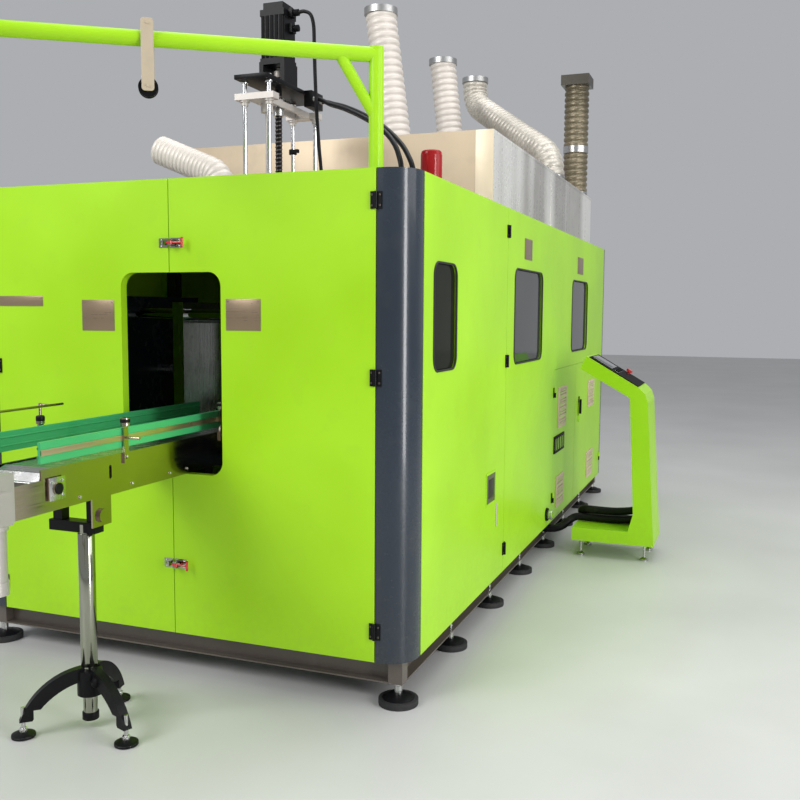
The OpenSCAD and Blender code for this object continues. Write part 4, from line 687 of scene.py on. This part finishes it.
@dataclass
class Cladding:
    """Window seals, bare plates, vent covers, switch, air port, handle bezel, and a pale strip that is a
    painted highlight along a door seam.
    """

    windows: Rows = ((-2.022, 1.54, 0.31, 0.45), (-0.478, 1.54, 0.7, 0.52), (1.18, 1.54, 0.64, 0.51))
    front_plates: Rows = ((-0.449, -0.28, 1.471, 1.603), (0.27, 0.43, 1.48, 1.608),
                          (-0.906, -0.661, 1.575, 1.62))
    side_plates: Rows = ((-0.613, -0.428, 1.857, 1.974), (1.055, 1.284, 1.845, 1.966))
    port: tuple[float, float] = (0.126, 0.262)

    def seals(self) -> None:
        """A rubber bead round each window."""
        section = np.array([(-0.005, -0.001), (-0.005, 0.003), (-0.002, 0.005), (0.003, 0.0045),
                            (0.005, -0.001)])
        for i, (y, z, w, h) in enumerate(self.windows):
            ring = Face.RIGHT.loop(rounded_rect(w - 0.004, h - 0.004, 0.058, 10), y, z, 0.0)
            body = "side_access_door" if i == 0 else "cabinet"
            Shape().sweep(ring, section, True, up=RIGHTWARD).make(f"window_seal_{i + 1}", "seal", body)

    def plates(self) -> None:
        """Bare metal plates with a rivet in each corner."""
        for i, corners in enumerate(self.front_plates):
            body = "right_front_door" if corners[0] > 0 else "left_front_door"
            self.plate(Face.FRONT, f"front_plate_{i + 1}", corners, body)
        for i, corners in enumerate(self.side_plates):
            self.plate(Face.RIGHT, f"side_plate_{i + 1}", corners, "cabinet")

    def plate(self, face: Face, name: str, corners: tuple[float, float, float, float], body: str) -> None:
        """One bare plate; its corners are given as two places along the face and two heights."""
        u0, u1, z0, z1 = corners
        shape = face.slab(Shape(), *corners, 0.0, 0.0015)
        m = 0.01
        rivets = screws([face.at(u, z, 0.001) for u in (u0 + m, u1 - m) for z in (z0 + m, z1 - m)],
                        face.normal, 0.003, 0.002)
        shape.join(rivets).make(name, "plate", body, bevel=0.0004)

    def filter(self, name: str, y: float, z: float, w: float, h: float, finish: str, body: str,
               upright: bool, n: int) -> None:
        """A vent cover: a frame with n flat slats; each fills 0.64 of its pitch."""
        shape, rim = Shape(), 0.018
        u0, u1, z0, z1 = y - w / 2, y + w / 2, z - h / 2, z + h / 2
        left, right, low, high = u0 + rim, u1 - rim, z0 + rim, z1 - rim
        for corners in ((u0, u1, high, z1), (u0, u1, z0, low), (u0, left, low, high),
                        (right, u1, low, high)):
            Face.RIGHT.slab(shape, *corners, 0.0, 0.0085)
        pitch = ((w if upright else h) - 2 * rim) / n
        for i in range(n):
            a, b = (pitch * (i + 0.5 - n / 2 + part) for part in (-0.32, 0.32))
            corners = (y + a, y + b, low, high) if upright else (left, right, z + a, z + b)
            Face.RIGHT.slab(shape, *corners, 0.0, 0.0083)
        shape.make(name, finish, body, bevel=0.001)

    def build(self) -> None:
        """Makes the cladding pieces."""
        self.seals()
        self.plates()
        for name, y, z, w, h, body, n in (
                ("filter_front_low", 0.535, 0.355, 0.244, 0.209, "front_panel_door", 11),
                ("filter_front_high", 0.565, 0.925, 0.274, 0.274, "front_panel_door", 14),
                ("filter_rear_low", 1.766, 0.355, 0.274, 0.209, "rear_panel_door", 11),
                ("filter_rear_high", 1.766, 0.925, 0.274, 0.209, "rear_panel_door", 11)):
            self.filter(name, y, z, w, h, "filter", body, False, n)
        self.filter("side_louvre", 0.48, 0.685, 0.334, 0.114, "black_matt", "front_panel_door", True, 5)
        for name, finish, corners, out in (
                ("switch_frame", "olive", (-1.331, -1.185, 0.608, 0.752), (0.0, 0.003)),
                ("switch_plate", "dark_sheet", (-1.306, -1.21, 0.633, 0.727), (0.0025, 0.0055)),
                # A pale slab as a painted highlight: the light caught along the side door's seam.
                ("painted_seam_highlight", "white_cast", (-1.15, -1.137, 0.46, 0.582), (0.0, 0.004))):
            slab = Face.RIGHT.slab(Shape(), *corners, *out)
            slab.make(name, finish, "side_access_door", bevel=0.001)
        collar = self.port_ring([(0.0425, 0), (0.0425, 0.0115), (0.0405, 0.0128), (0.031, 0.0128),
                                 (0.031, 0)])
        collar.make("air_port_flange", "black_matt")
        self.handle_bezel()
        boss = self.port_ring([(0.0305, 0.01), (0.0305, 0.0405), (0.0285, 0.0425), (0.0215, 0.0425),
                               (0.0205, 0.0415), (0.0205, 0.01)])
        boss.make("air_port_boss", "steel", bevel=0.0003)

    def port_ring(self, outline: Sequence[tuple[float, float]]) -> Shape:
        """Turns a closed outline of (radius, way out) round the air port's middle."""
        y, z = self.port
        t = np.linspace(0, 2 * math.pi, 40, endpoint=False)
        rings = [[(HALF_W + out, y + r * math.cos(a), z + r * math.sin(a)) for a in t]
                 for r, out in outline]
        return Shape().rings(np.array(rings), closed=True)

    def handle_bezel(self) -> None:
        """A bead round the swing handle's recess."""
        ring = Face.RIGHT.loop(rounded_rect(0.052, 0.148, 0.0255, 8), 1.236, 0.862, 0.0)
        section = np.array([(-0.005, -0.0005), (-0.005, 0.002), (-0.002, 0.0035), (0.004, 0.003),
                            (0.005, -0.0005)])
        bezel = Shape().sweep(ring, section, True, up=RIGHTWARD)
        bezel.make("handle_bezel", "black_matt", "rear_panel_door")


@dataclass
class Conveyor:
    """Slats, guide beads and bars, bolts, knobs and the near bearing of the out-feed conveyor."""

    half: float = 0.112
    shaft_z: float = 0.965
    outer_y: float = -3.27
    inner_y: float = -1.965
    radius: float = 0.065
    slat: float = 0.0381

    def along(self, s: float) -> tuple[tuple[float, float], float]:
        """The band's middle (y, z) and its turn at a length s round the loop.

        The loop runs along the top, round the inner end, back below and round the outer end.
        """
        r, run = self.radius, self.inner_y - self.outer_y
        arc = math.pi * r
        if s < run:
            return (self.outer_y + s, self.shaft_z + r), 0.0
        if run + arc <= s < 2 * run + arc:
            return (self.inner_y - (s - run - arc), self.shaft_z - r), math.pi
        if s < run + arc:
            y, turn = self.inner_y, -(s - run) / r
        else:
            y, turn = self.outer_y, -(s - 2 * run - arc) / r - math.pi
        return (y - math.sin(turn) * r, self.shaft_z + math.cos(turn) * r), turn

    def slats(self) -> None:
        """The chain's plates: each is a thin block laid along the band."""
        total = 2 * (self.inner_y - self.outer_y + math.pi * self.radius)
        n = int(total / self.slat)
        shape = Shape()
        w, t, ease = 0.0955, 0.0042, 0.0006
        half = total / n / 2 - ease
        corner = half - 0.0015
        section = ((-half, 0), (-corner, ease), (corner, ease), (half, 0), (half, -t), (-half, -t))
        for i in range(n):
            c, a = self.along(total * (i + 0.5) / n)
            u, v = np.array([math.cos(a), math.sin(a)]), np.array([-math.sin(a), math.cos(a)])
            cross = [np.array(c) + u * p + v * q for p, q in section]
            shape.rings(np.array([[(x, p[0], p[1]) for p in cross] for x in (-w, w)]))
        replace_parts(shape.make("chain_slats", "steel", smooth=20), "slat_chain")

    def hardware(self) -> None:
        """Bolt heads, the near bearing and the knobs."""
        plated = self.half + 0.008
        places = [(self.half, y, 0.912) for y in (-3.15, -2.86, -2.62, -2.5)]
        places += [(plated, y + dy, self.shaft_z + dz) for y in (self.outer_y, self.inner_y)
                   for dy in (-0.024, 0.024) for dz in (-0.024, 0.024)]
        places += [(plated, y, 1.02) for y in (-2.9, -2.24)]
        screws(places, RIGHTWARD, 0.0055, 0.005).make("conveyor_bolts", "chrome", bevel=0.0003)
        self.bearing_plate()
        knobs = Shape()
        for y in (-2.9, -2.24):
            knobs.lathe((self.half + 0.004, y, 1.133), UP, self.knob(0.0185), 24)
        for y in (-2.93, -3.39):
            knobs.lathe((-0.251, y, 1.127), UP, self.knob(0.0168), 24)
        knobs.make("guide_knobs", "black", smooth=50)

    def bearing_plate(self) -> None:
        """The near drive bearing's bright square plate, with its black hub."""
        face, y, z = self.half + 0.0078, self.outer_y, self.shaft_z
        plate = Shape().box((face, y - 0.039, z - 0.039), (face + 0.0018, y + 0.039, z + 0.039))
        plate.make("bearing_plate", "steel", bevel=0.0006)
        outline = [(0.0195, 0), (0.0195, 0.0085), (0.0165, 0.0105), (0.011, 0.0105)]
        hub = Shape().lathe((face + 0.0015, y, z), RIGHTWARD, outline, 32)
        hub.make("bearing_hub", "black", smooth=50)

    @staticmethod
    def knob(r: float) -> list[tuple[float, float]]:
        """Profile of a round knob with a domed top."""
        return [(r * 0.55, 0), (r * 0.6, 0.006), (r * 0.95, 0.01), (r, 0.016), (r, 0.026),
                (r * 0.85, 0.031), (r * 0.4, 0.0325)]

    def strips(self) -> None:
        """The green guides' rounded rub edges, and the steel bar along the back of each guide, tinted
        olive-cream as a painted reflection.
        """
        beads, bars, end = Shape(), Shape(), -1.915
        for x, back, start in ((0.096, 0.1075, -3.33), (-0.204, -0.2195, -3.62)):
            for z in (1.075, 1.105):
                path = np.array([(x, start, z), (x, -2.6, z), (x, end, z)])
                beads.sweep(path, circle(0.004, 10))
            bars.box((back, start, 1.08), (back + 0.004, end, 1.1))
        beads.make("guide_beads", "guide_green", smooth=60)
        bars.make("guide_bars", "steel_with_painted_reflection", bevel=0.0006)

    def build(self) -> None:
        """Makes the conveyor's pieces."""
        self.slats()
        self.hardware()
        self.strips()


@dataclass
class Stand:
    """Clamp knobs, pads, nuts and tube skin of the tripod."""

    y: float = -2.99
    reach: float = 0.236
    turns: tuple[int, int, int] = (225, 340, 102)
    tube_r: float = 0.0305

    def foot(self, turn: float, z: float) -> Vec:
        """The middle of the foot at an angle in degrees."""
        a = math.radians(turn)
        return (self.reach * math.cos(a), self.y + self.reach * math.sin(a), z)

    def build(self) -> None:
        """Makes the tripod's fine pieces."""
        self.knobs()
        pads = Shape()
        for turn in self.turns:
            for profile in ([(0.0405, 0.0), (0.043, 0.003), (0.043, 0.009), (0.040, 0.0125)],
                            [(0.0423, 0.0105), (0.0423, 0.0123), (0.0143, 0.0224)]):
                pads.lathe(self.foot(turn, 0), UP, profile, 40)
        pads.make("stand_pads", "black", smooth=30)
        nuts = turned([self.foot(turn, 0.024) for turn in self.turns], UP, [(0.015, 0), (0.015, 0.011)], 6)
        nuts.make("stand_nuts", "chrome", bevel=0.0008)
        for name, finish, low, high in (("stand_sleeve", "dark_chrome", 0.236, 0.742),
                                        ("stand_ring", "black", 0.03, 0.058)):
            skin = Shape().rod((0, self.y, low), (0, self.y, high), self.tube_r)
            skin.make(name, finish, smooth=50)

    def knobs(self) -> None:
        """Two clamp knobs on the hub."""
        knob = Shape()
        outline = [(0.008, 0), (0.008, 0.014), (0.019, 0.016), (0.021, 0.024), (0.019, 0.034),
                   (0.008, 0.037)]
        hub_r = 0.044
        for turn in (-60, 60):
            a = math.radians(turn)
            out = (math.sin(a), -math.cos(a), 0)
            knob.lathe((hub_r * out[0], self.y + hub_r * out[1], 0.19), out, outline, 20)
        knob.make("stand_knobs", "black", smooth=50)


@dataclass
class Feet:
    """Rubber rings, cup skins and nuts of the cabinet's levelling feet."""

    x: float = 1.005
    end_y: float = 2.375
    count: int = 8

    def places(self, z: float) -> list[Vec]:
        """The middle of every foot at a height."""
        ys = np.linspace(-self.end_y, self.end_y, self.count)
        return [(x, y, z) for x in (-self.x, self.x) for y in ys]

    def build(self) -> None:
        """Makes a ribbed ring, a black cup skin and a hexagon nut on each foot."""
        rib = [(0.076, 0.0), (0.0805, 0.003), (0.0805, 0.008), (0.0785, 0.01), (0.0805, 0.012),
               (0.0805, 0.021), (0.078, 0.0255), (0.066, 0.0258)]
        cup = [(0.065, 0.0262), (0.0651, 0.0284), (0.0302, 0.0434), (0.0165, 0.0435)]
        nut = [(0.0185, 0), (0.0185, 0.0095)]
        turned(self.places(0.0), UP, rib, 64).make("foot_rings", "rubber", smooth=40)
        turned(self.places(0.0), UP, cup, 48).make("foot_caps", "black", smooth=40)
        turned(self.places(0.0745), UP, nut, 6).make("foot_nuts", "steel", bevel=0.001)


@dataclass
class Hood:
    """Folded flanges, rivets and the tan front of the exhaust hood."""

    x: float = 0.95
    y0: float = -0.86
    y1: float = 2.28
    z0: float = ROOF
    z1: float = 2.53

    def build(self) -> None:
        """Makes the hood's cladding."""
        edge = self.x - 0.1
        for name, finish, x0, x1, skin in (
                ("hood_front_skin", "tan_sheet", -self.x, edge - 0.001, 0.0012),
                ("hood_edge_strip", "pale_sheet", edge, self.x, 0.0016)):
            sheet = Shape().box((x0, self.y0 - skin, self.z0 + 0.002), (x1, self.y0 - 0.0002, self.z1))
            sheet.make(name, finish, bevel=0.0003)
        lips = Shape()
        for side in (-1, 1):
            self.wall_strip(lips, side, 0.0014, (self.y0, self.y1), (self.z1 - 0.018, self.z1))
            self.wall_strip(lips, side, 0.0014, (self.y0, self.y1), (self.z0, self.z0 + 0.014))
            for y in (0.652, 0.642):
                self.wall_strip(lips, side, 0.003, (y, y + 0.006), (self.z0, self.z1))
        lips.make("hood_lips", "hood_side", bevel=0.0004)
        places = [(self.x + 0.0012, y, z) for z in (self.z1 - 0.009, self.z0 + 0.007)
                  for y in np.arange(-0.8, 2.25, 0.22)]
        screws(places, RIGHTWARD, 0.003, 0.0015).make("hood_rivets", "chrome")

    def wall_strip(self, shape: Shape, side: int, depth: float, ys: tuple[float, float],
                   zs: tuple[float, float]) -> None:
        """Adds a strip that stands out from a side wall; side is -1 on the left, 1 on the right."""
        x = side * self.x
        shape.box((x, ys[0], zs[0]), (x + side * depth, ys[1], zs[1]))


@dataclass
class StretchHead:
    """Details of the stretch unit above the roof, and the beacon beside it."""

    rods: Rows = ((-0.066, -1.7), (0.066, -1.7), (-0.066, -1.2), (0.066, -1.2))
    screw: tuple[float, float] = (0.0, -1.48)
    top: float = 2.66
    beacon_at: tuple[float, float] = (0.97, -1.93)

    def build(self) -> None:
        """Makes the head plate's skin, nuts, thread, coupling, fins, fittings, sensor and beacon."""
        x, y = self.screw
        plate = Shape().box((-0.0885, -1.7605, self.top - 0.0005), (0.0885, -1.1395, self.top + 0.0205))
        plate.box((0.087, -1.3705, self.top - 0.0605), (0.1305, -1.2395, self.top + 0.0205))
        plate.make("head_plate", "black", bevel=0.0012)
        nuts = Shape()
        for u, v in self.rods:
            nuts.lathe((u, v, self.top + 0.0205), UP, [(0.0145, 0), (0.0145, 0.008)], 6)
            nuts.lathe((u, v, self.top - 0.009), UP, [(0.018, 0), (0.018, 0.0088)], 24)
        nuts.make("rod_nuts", "chrome", bevel=0.0008)
        self.thread()
        outline = [(0.0225, 0), (0.0225, 0.024), (0.0205, 0.0245), (0.0205, 0.0285), (0.0225, 0.029),
                   (0.0225, 0.0605)]
        coupling = Shape().lathe((x, y, self.top + 0.034), UP, outline, 40)
        coupling.make("shaft_coupling", "white_cast", "screw", bevel=0.0004)
        fins = Shape()
        z0, z1, half = self.top + 0.148, self.top + 0.35, 0.07
        for i in range(5):
            u = -0.05 + 0.025 * i
            for side in (-1, 1):
                fins.box((u - 0.008, y + side * (half - 0.0045), z0),
                         (u + 0.008, y + side * (half - 0.0005), z1))
        fins.make("servo_fins", "black_matt", bevel=0.0012)
        self.fittings()
        clamp = Shape().lathe((-0.066, -1.2, 2.395), UP,
                              [(0.02, 0), (0.021, 0.002), (0.021, 0.024), (0.02, 0.026)], 24)
        clamp.box((-0.062, -1.234, 2.399), (-0.02, -1.214, 2.417))
        clamp.make("rod_sensor", "black_matt", bevel=0.0006)
        self.beacon()

    def fittings(self) -> None:
        """The motor's plugs, the hoses' fittings and their glands in the roof."""
        plug = [(0.0155, -0.02), (0.0165, -0.018), (0.0165, -0.008), (0.0155, -0.006),
                (0.0165, -0.004), (0.0165, 0.0005)]
        fitting = [(0.0145, 0.0), (0.0145, 0.019), (0.013, 0.022), (0.013, 0.032)]
        gland = [(0.0225, 0), (0.0225, 0.008), (0.02, 0.0165), (0.0125, 0.0215)]
        plugs = turned([(0.114, self.screw[1], self.top + up) for up in (0.295, 0.37)], RIGHTWARD, plug, 24)
        plugs.make("servo_plugs", "black_matt", bevel=0.0003)
        fittings = turned([(0.112, -1.345, 2.64), (0.112, -1.27, 2.64)], RIGHTWARD, fitting, 6)
        fittings.make("hose_fittings", "steel", bevel=0.0006)
        glands = turned([(0.91, -2.13, ROOF), (0.945, -2.09, ROOF)], UP, gland, 6)
        glands.make("roof_glands", "black_matt", bevel=0.0006)

    def beacon(self) -> None:
        """The beacon's red lens and black foot."""
        x, y = self.beacon_at
        lens = Shape().lathe((x, y, 2.118), UP, [(0.0445, 0), (0.0445, 0.112), (0.042, 0.119),
                                                 (0.036, 0.123), (0.012, 0.1235)], 56)
        lens.make("beacon_lens", "beacon", smooth=50)
        sleeve = Shape().lathe((x, y, ROOF), UP, [(0.0503, 0), (0.0503, 0.0155), (0.0485, 0.0185)], 56)
        sleeve.make("beacon_sleeve", "black", smooth=50)

    def thread(self) -> None:
        """The ball screw's thread: a bead that winds round the shaft.

        Its middle lies on a helix whose height grows by the lead in each turn.
        """
        x, y = self.screw
        z0, z1, lead, r = 2.012, self.top - 0.012, 0.02, 0.0158
        turns = (z1 - z0) / lead
        t = np.linspace(0, turns * 2 * np.pi, int(turns * 16))
        path = np.stack([x + r * np.cos(t), y + r * np.sin(t), z0 + t / (2 * np.pi) * lead], 1)
        Shape().sweep(path, circle(0.0034, 6)).make("screw_thread", "dark_steel", "screw", smooth=60)


@dataclass
class Console:
    """Screen, bezel and button rims on the operator console."""

    start: tuple[float, float] = (1.3, 1.29)
    end: tuple[float, float] = (1.63, 1.098)
    y: float = 0.15

    def place(self, along: float, across: float, out: float) -> Vec:
        """A place on the sloped head."""
        d = Vector((self.end[0] - self.start[0], 0, self.end[1] - self.start[1])).normalized()
        n = Vector((-d[2], 0, d[0]))
        p = Vector((self.start[0], self.y + across, self.start[1])) + d * along + n * out
        return tuple(p)

    def slab(self, a: tuple[float, float], b: tuple[float, float], low: float, high: float) -> Shape:
        """A block on the sloped head between two corners."""
        ring = [(a[0], a[1]), (b[0], a[1]), (b[0], b[1]), (a[0], b[1])]
        return Shape().rings(np.array([[self.place(u, v, h) for u, v in ring] for h in (high, low)]))

    def build(self) -> None:
        """Makes the console's fine pieces."""
        bezel = self.slab((0.028, 0.058), (0.172, 0.272), 0.006, 0.0135)
        bezel.make("screen_bezel", "steel", bevel=0.001)
        screen = self.slab((0.038, 0.07), (0.162, 0.26), 0.013, 0.0142)
        screen.make("touch_screen", "screen", bevel=0.0004)
        rim = [(0.0165, 0), (0.0165, 0.004), (0.0145, 0.0055)]
        places = [self.place(0.205, 0.08 + i * 0.06, 0.006) for i in range(4)]
        turned(places, self.normal(), rim, 28).make("button_rims", "chrome", smooth=40)

    def normal(self) -> Vec:
        """The way out of the slope."""
        a, b = Vector(self.place(0, 0, 0)), Vector(self.place(0, 0, 1))
        return tuple(b - a)


@dataclass
class DoorFurniture:
    """Screws on the hinges and latches, and the caps of the latch pins."""

    heights: tuple[float, float, float] = (0.305, 1.307, 1.979)
    front_x: float = 0.928
    side_y: float = -0.984
    reach: float = 0.0165
    leaf: float = 0.005

    def hinge_screws(self, x: float, y: float, normal: Vec, name: str, body: str) -> None:
        """Two screws at each height of an upright hinge leaf."""
        places = [(x, y, z + dz) for z in self.heights for dz in (-0.02, 0.02)]
        screws(places, normal, 0.0042, 0.0022).make(name, "dark_steel", body)

    def build(self) -> None:
        """Makes the screw heads and caps."""
        for side, door in ((1, "right_front_door"), (-1, "left_front_door")):
            for reach, name, body in ((self.reach, f"hinge_screws_fixed_{door}", "cabinet"),
                                      (-self.reach, f"hinge_screws_{door}", door)):
                self.hinge_screws(side * (self.front_x + reach), FRONT - self.leaf, FORWARD, name, body)
        for reach, name, body in ((self.reach, "hinge_screws_fixed_side", "cabinet"),
                                  (-self.reach, "hinge_screws_side", "side_access_door")):
            self.hinge_screws(HALF_W + self.leaf, self.side_y + reach, RIGHTWARD, name, body)
        for name, z in (("upper", 1.838), ("lower", 0.486)):
            ends = [(0.08, FRONT - 0.024, z + dz) for dz in (-0.0205, 0.0185)]
            caps = turned(ends, UP, [(0.0052, 0), (0.0052, 0.002)], 20)
            caps.make(f"latch_caps_{name}", "black", f"{name}_latch", bevel=0.0004)
            for kind, x, body in (("latch", 0.052, "right_front_door"),
                                  ("keeper", -0.034, "left_front_door")):
                pair = screws([(x, FRONT - 0.003, z + dz) for dz in (-0.013, 0.013)], FORWARD,
                              0.0035, 0.0022)
                pair.make(f"{kind}_screws_{name}", "chrome", body)


@dataclass
class Stage:
    """Floor, light and camera."""

    at: Vec = (2.2713, -5.7072, 1.5582)
    yaw: float = -20.828
    pitch: float = 5.426
    roll: float = 0.372
    lens: float = 41.52

    def build(self) -> None:
        """Sets the floor, the lights, the world and the camera."""
        stage = [self.floor()]
        for name, place, aim, power, size in (
                ("key", (-3.5, -8.0, 6.0), (0, -2, 1), 450, (4.0,)),
                ("side", (8.0, -1.0, 5.0), (1, 0, 1), 190, (5.0,)),
                ("top", (1.0, 0.5, 8.5), (0, 0, 0), 380, (7.0,)),
                ("strip", (6.6, -4.7, 1.7), (HALF_W, FRONT, 1.5), 270, (1.2, 4.5))):
            stage.append(self.lamp(name, place, aim, power, size))
        self.backdrop()
        self.camera()
        bpy.context.scene.view_settings.view_transform = "Standard"

    @staticmethod
    def floor() -> bpy.types.Object:
        """A plain pale floor."""
        mesh = bpy.data.meshes.new("floor")
        s = 30.0
        mesh.from_pydata([(-s, -s, 0), (s, -s, 0), (s, s, 0), (-s, s, 0)], [], [(0, 1, 2, 3)])
        made = bpy.data.objects.new("floor", mesh)
        g = Graph("floor")
        cloud = g.noise(0.8, detail=5.0)
        tone = g.mix(g.ramp(cloud, 0.3, 0.7), (0.5, 0.5, 0.49), (0.58, 0.58, 0.57))
        g.feed(g.shader.inputs["Base Color"], tone)
        g.feed(g.shader.inputs["Roughness"], 0.35 + cloud * 0.2)
        mesh.materials.append(g.material)
        bpy.context.scene.collection.objects.link(made)
        return made

    @staticmethod
    def lamp(name: str, place: Vec, aim: Vec, power: float, size: tuple[float, ...]) -> bpy.types.Object:
        """A soft light: square with one size, upright rectangle with two."""
        light = bpy.data.lights.new(name, "AREA")
        light.energy, light.size = power, size[0]
        if len(size) > 1:
            light.shape, light.size_y = "RECTANGLE", size[1]
        made = bpy.data.objects.new(name, light)
        made.location = place
        made.rotation_euler = (Vector(aim) - Vector(place)).to_track_quat("-Z", "Y").to_euler()
        bpy.context.scene.collection.objects.link(made)
        return made

    @staticmethod
    def backdrop() -> None:
        """A pale, even surrounding light."""
        world = bpy.data.worlds.new("studio")
        bpy.context.scene.world = world
        world.use_nodes = True
        back = world.node_tree.nodes["Background"]
        back.inputs[0].default_value = (0.86, 0.88, 0.92, 1)
        back.inputs[1].default_value = 0.48

    def camera(self) -> None:
        """The camera at the photo's place, turned by yaw, pitch and roll in degrees.

        It looks along the yaw on the floor, tipped down by the pitch; its right and upper
        directions then turn by the roll round that line.
        """
        lens = bpy.data.cameras.new("camera")
        lens.lens, lens.sensor_width = self.lens, 36.0
        camera = bpy.data.objects.new("camera", lens)
        yaw, pitch, roll = map(math.radians, (self.yaw, self.pitch, self.roll))
        level = math.cos(pitch)
        forward = Vector((math.sin(yaw) * level, math.cos(yaw) * level, -math.sin(pitch)))
        right = Vector((math.cos(yaw), -math.sin(yaw), 0))
        x = math.cos(roll) * right + math.sin(roll) * right.cross(forward)
        z = -forward
        y = z.cross(x)
        rows = [(x[i], y[i], z[i], self.at[i]) for i in range(3)]
        camera.matrix_world = Matrix((*rows, (0, 0, 0, 1)))
        bpy.context.scene.collection.objects.link(camera)
        bpy.context.scene.camera = camera


def main() -> None:
    """Builds the whole scene."""
    logging.basicConfig(level=logging.INFO)
    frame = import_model()
    Dresser().dress(frame)
    for part in (Ducts(), Cords(), Cladding(), Conveyor(), Stand(), Feet(), Hood(), StretchHead(),
                 Console(), DoorFurniture(), Stage()):
        LOG.info("building %s", type(part).__name__)
        part.build()


if __name__ == "__main__":
    main()
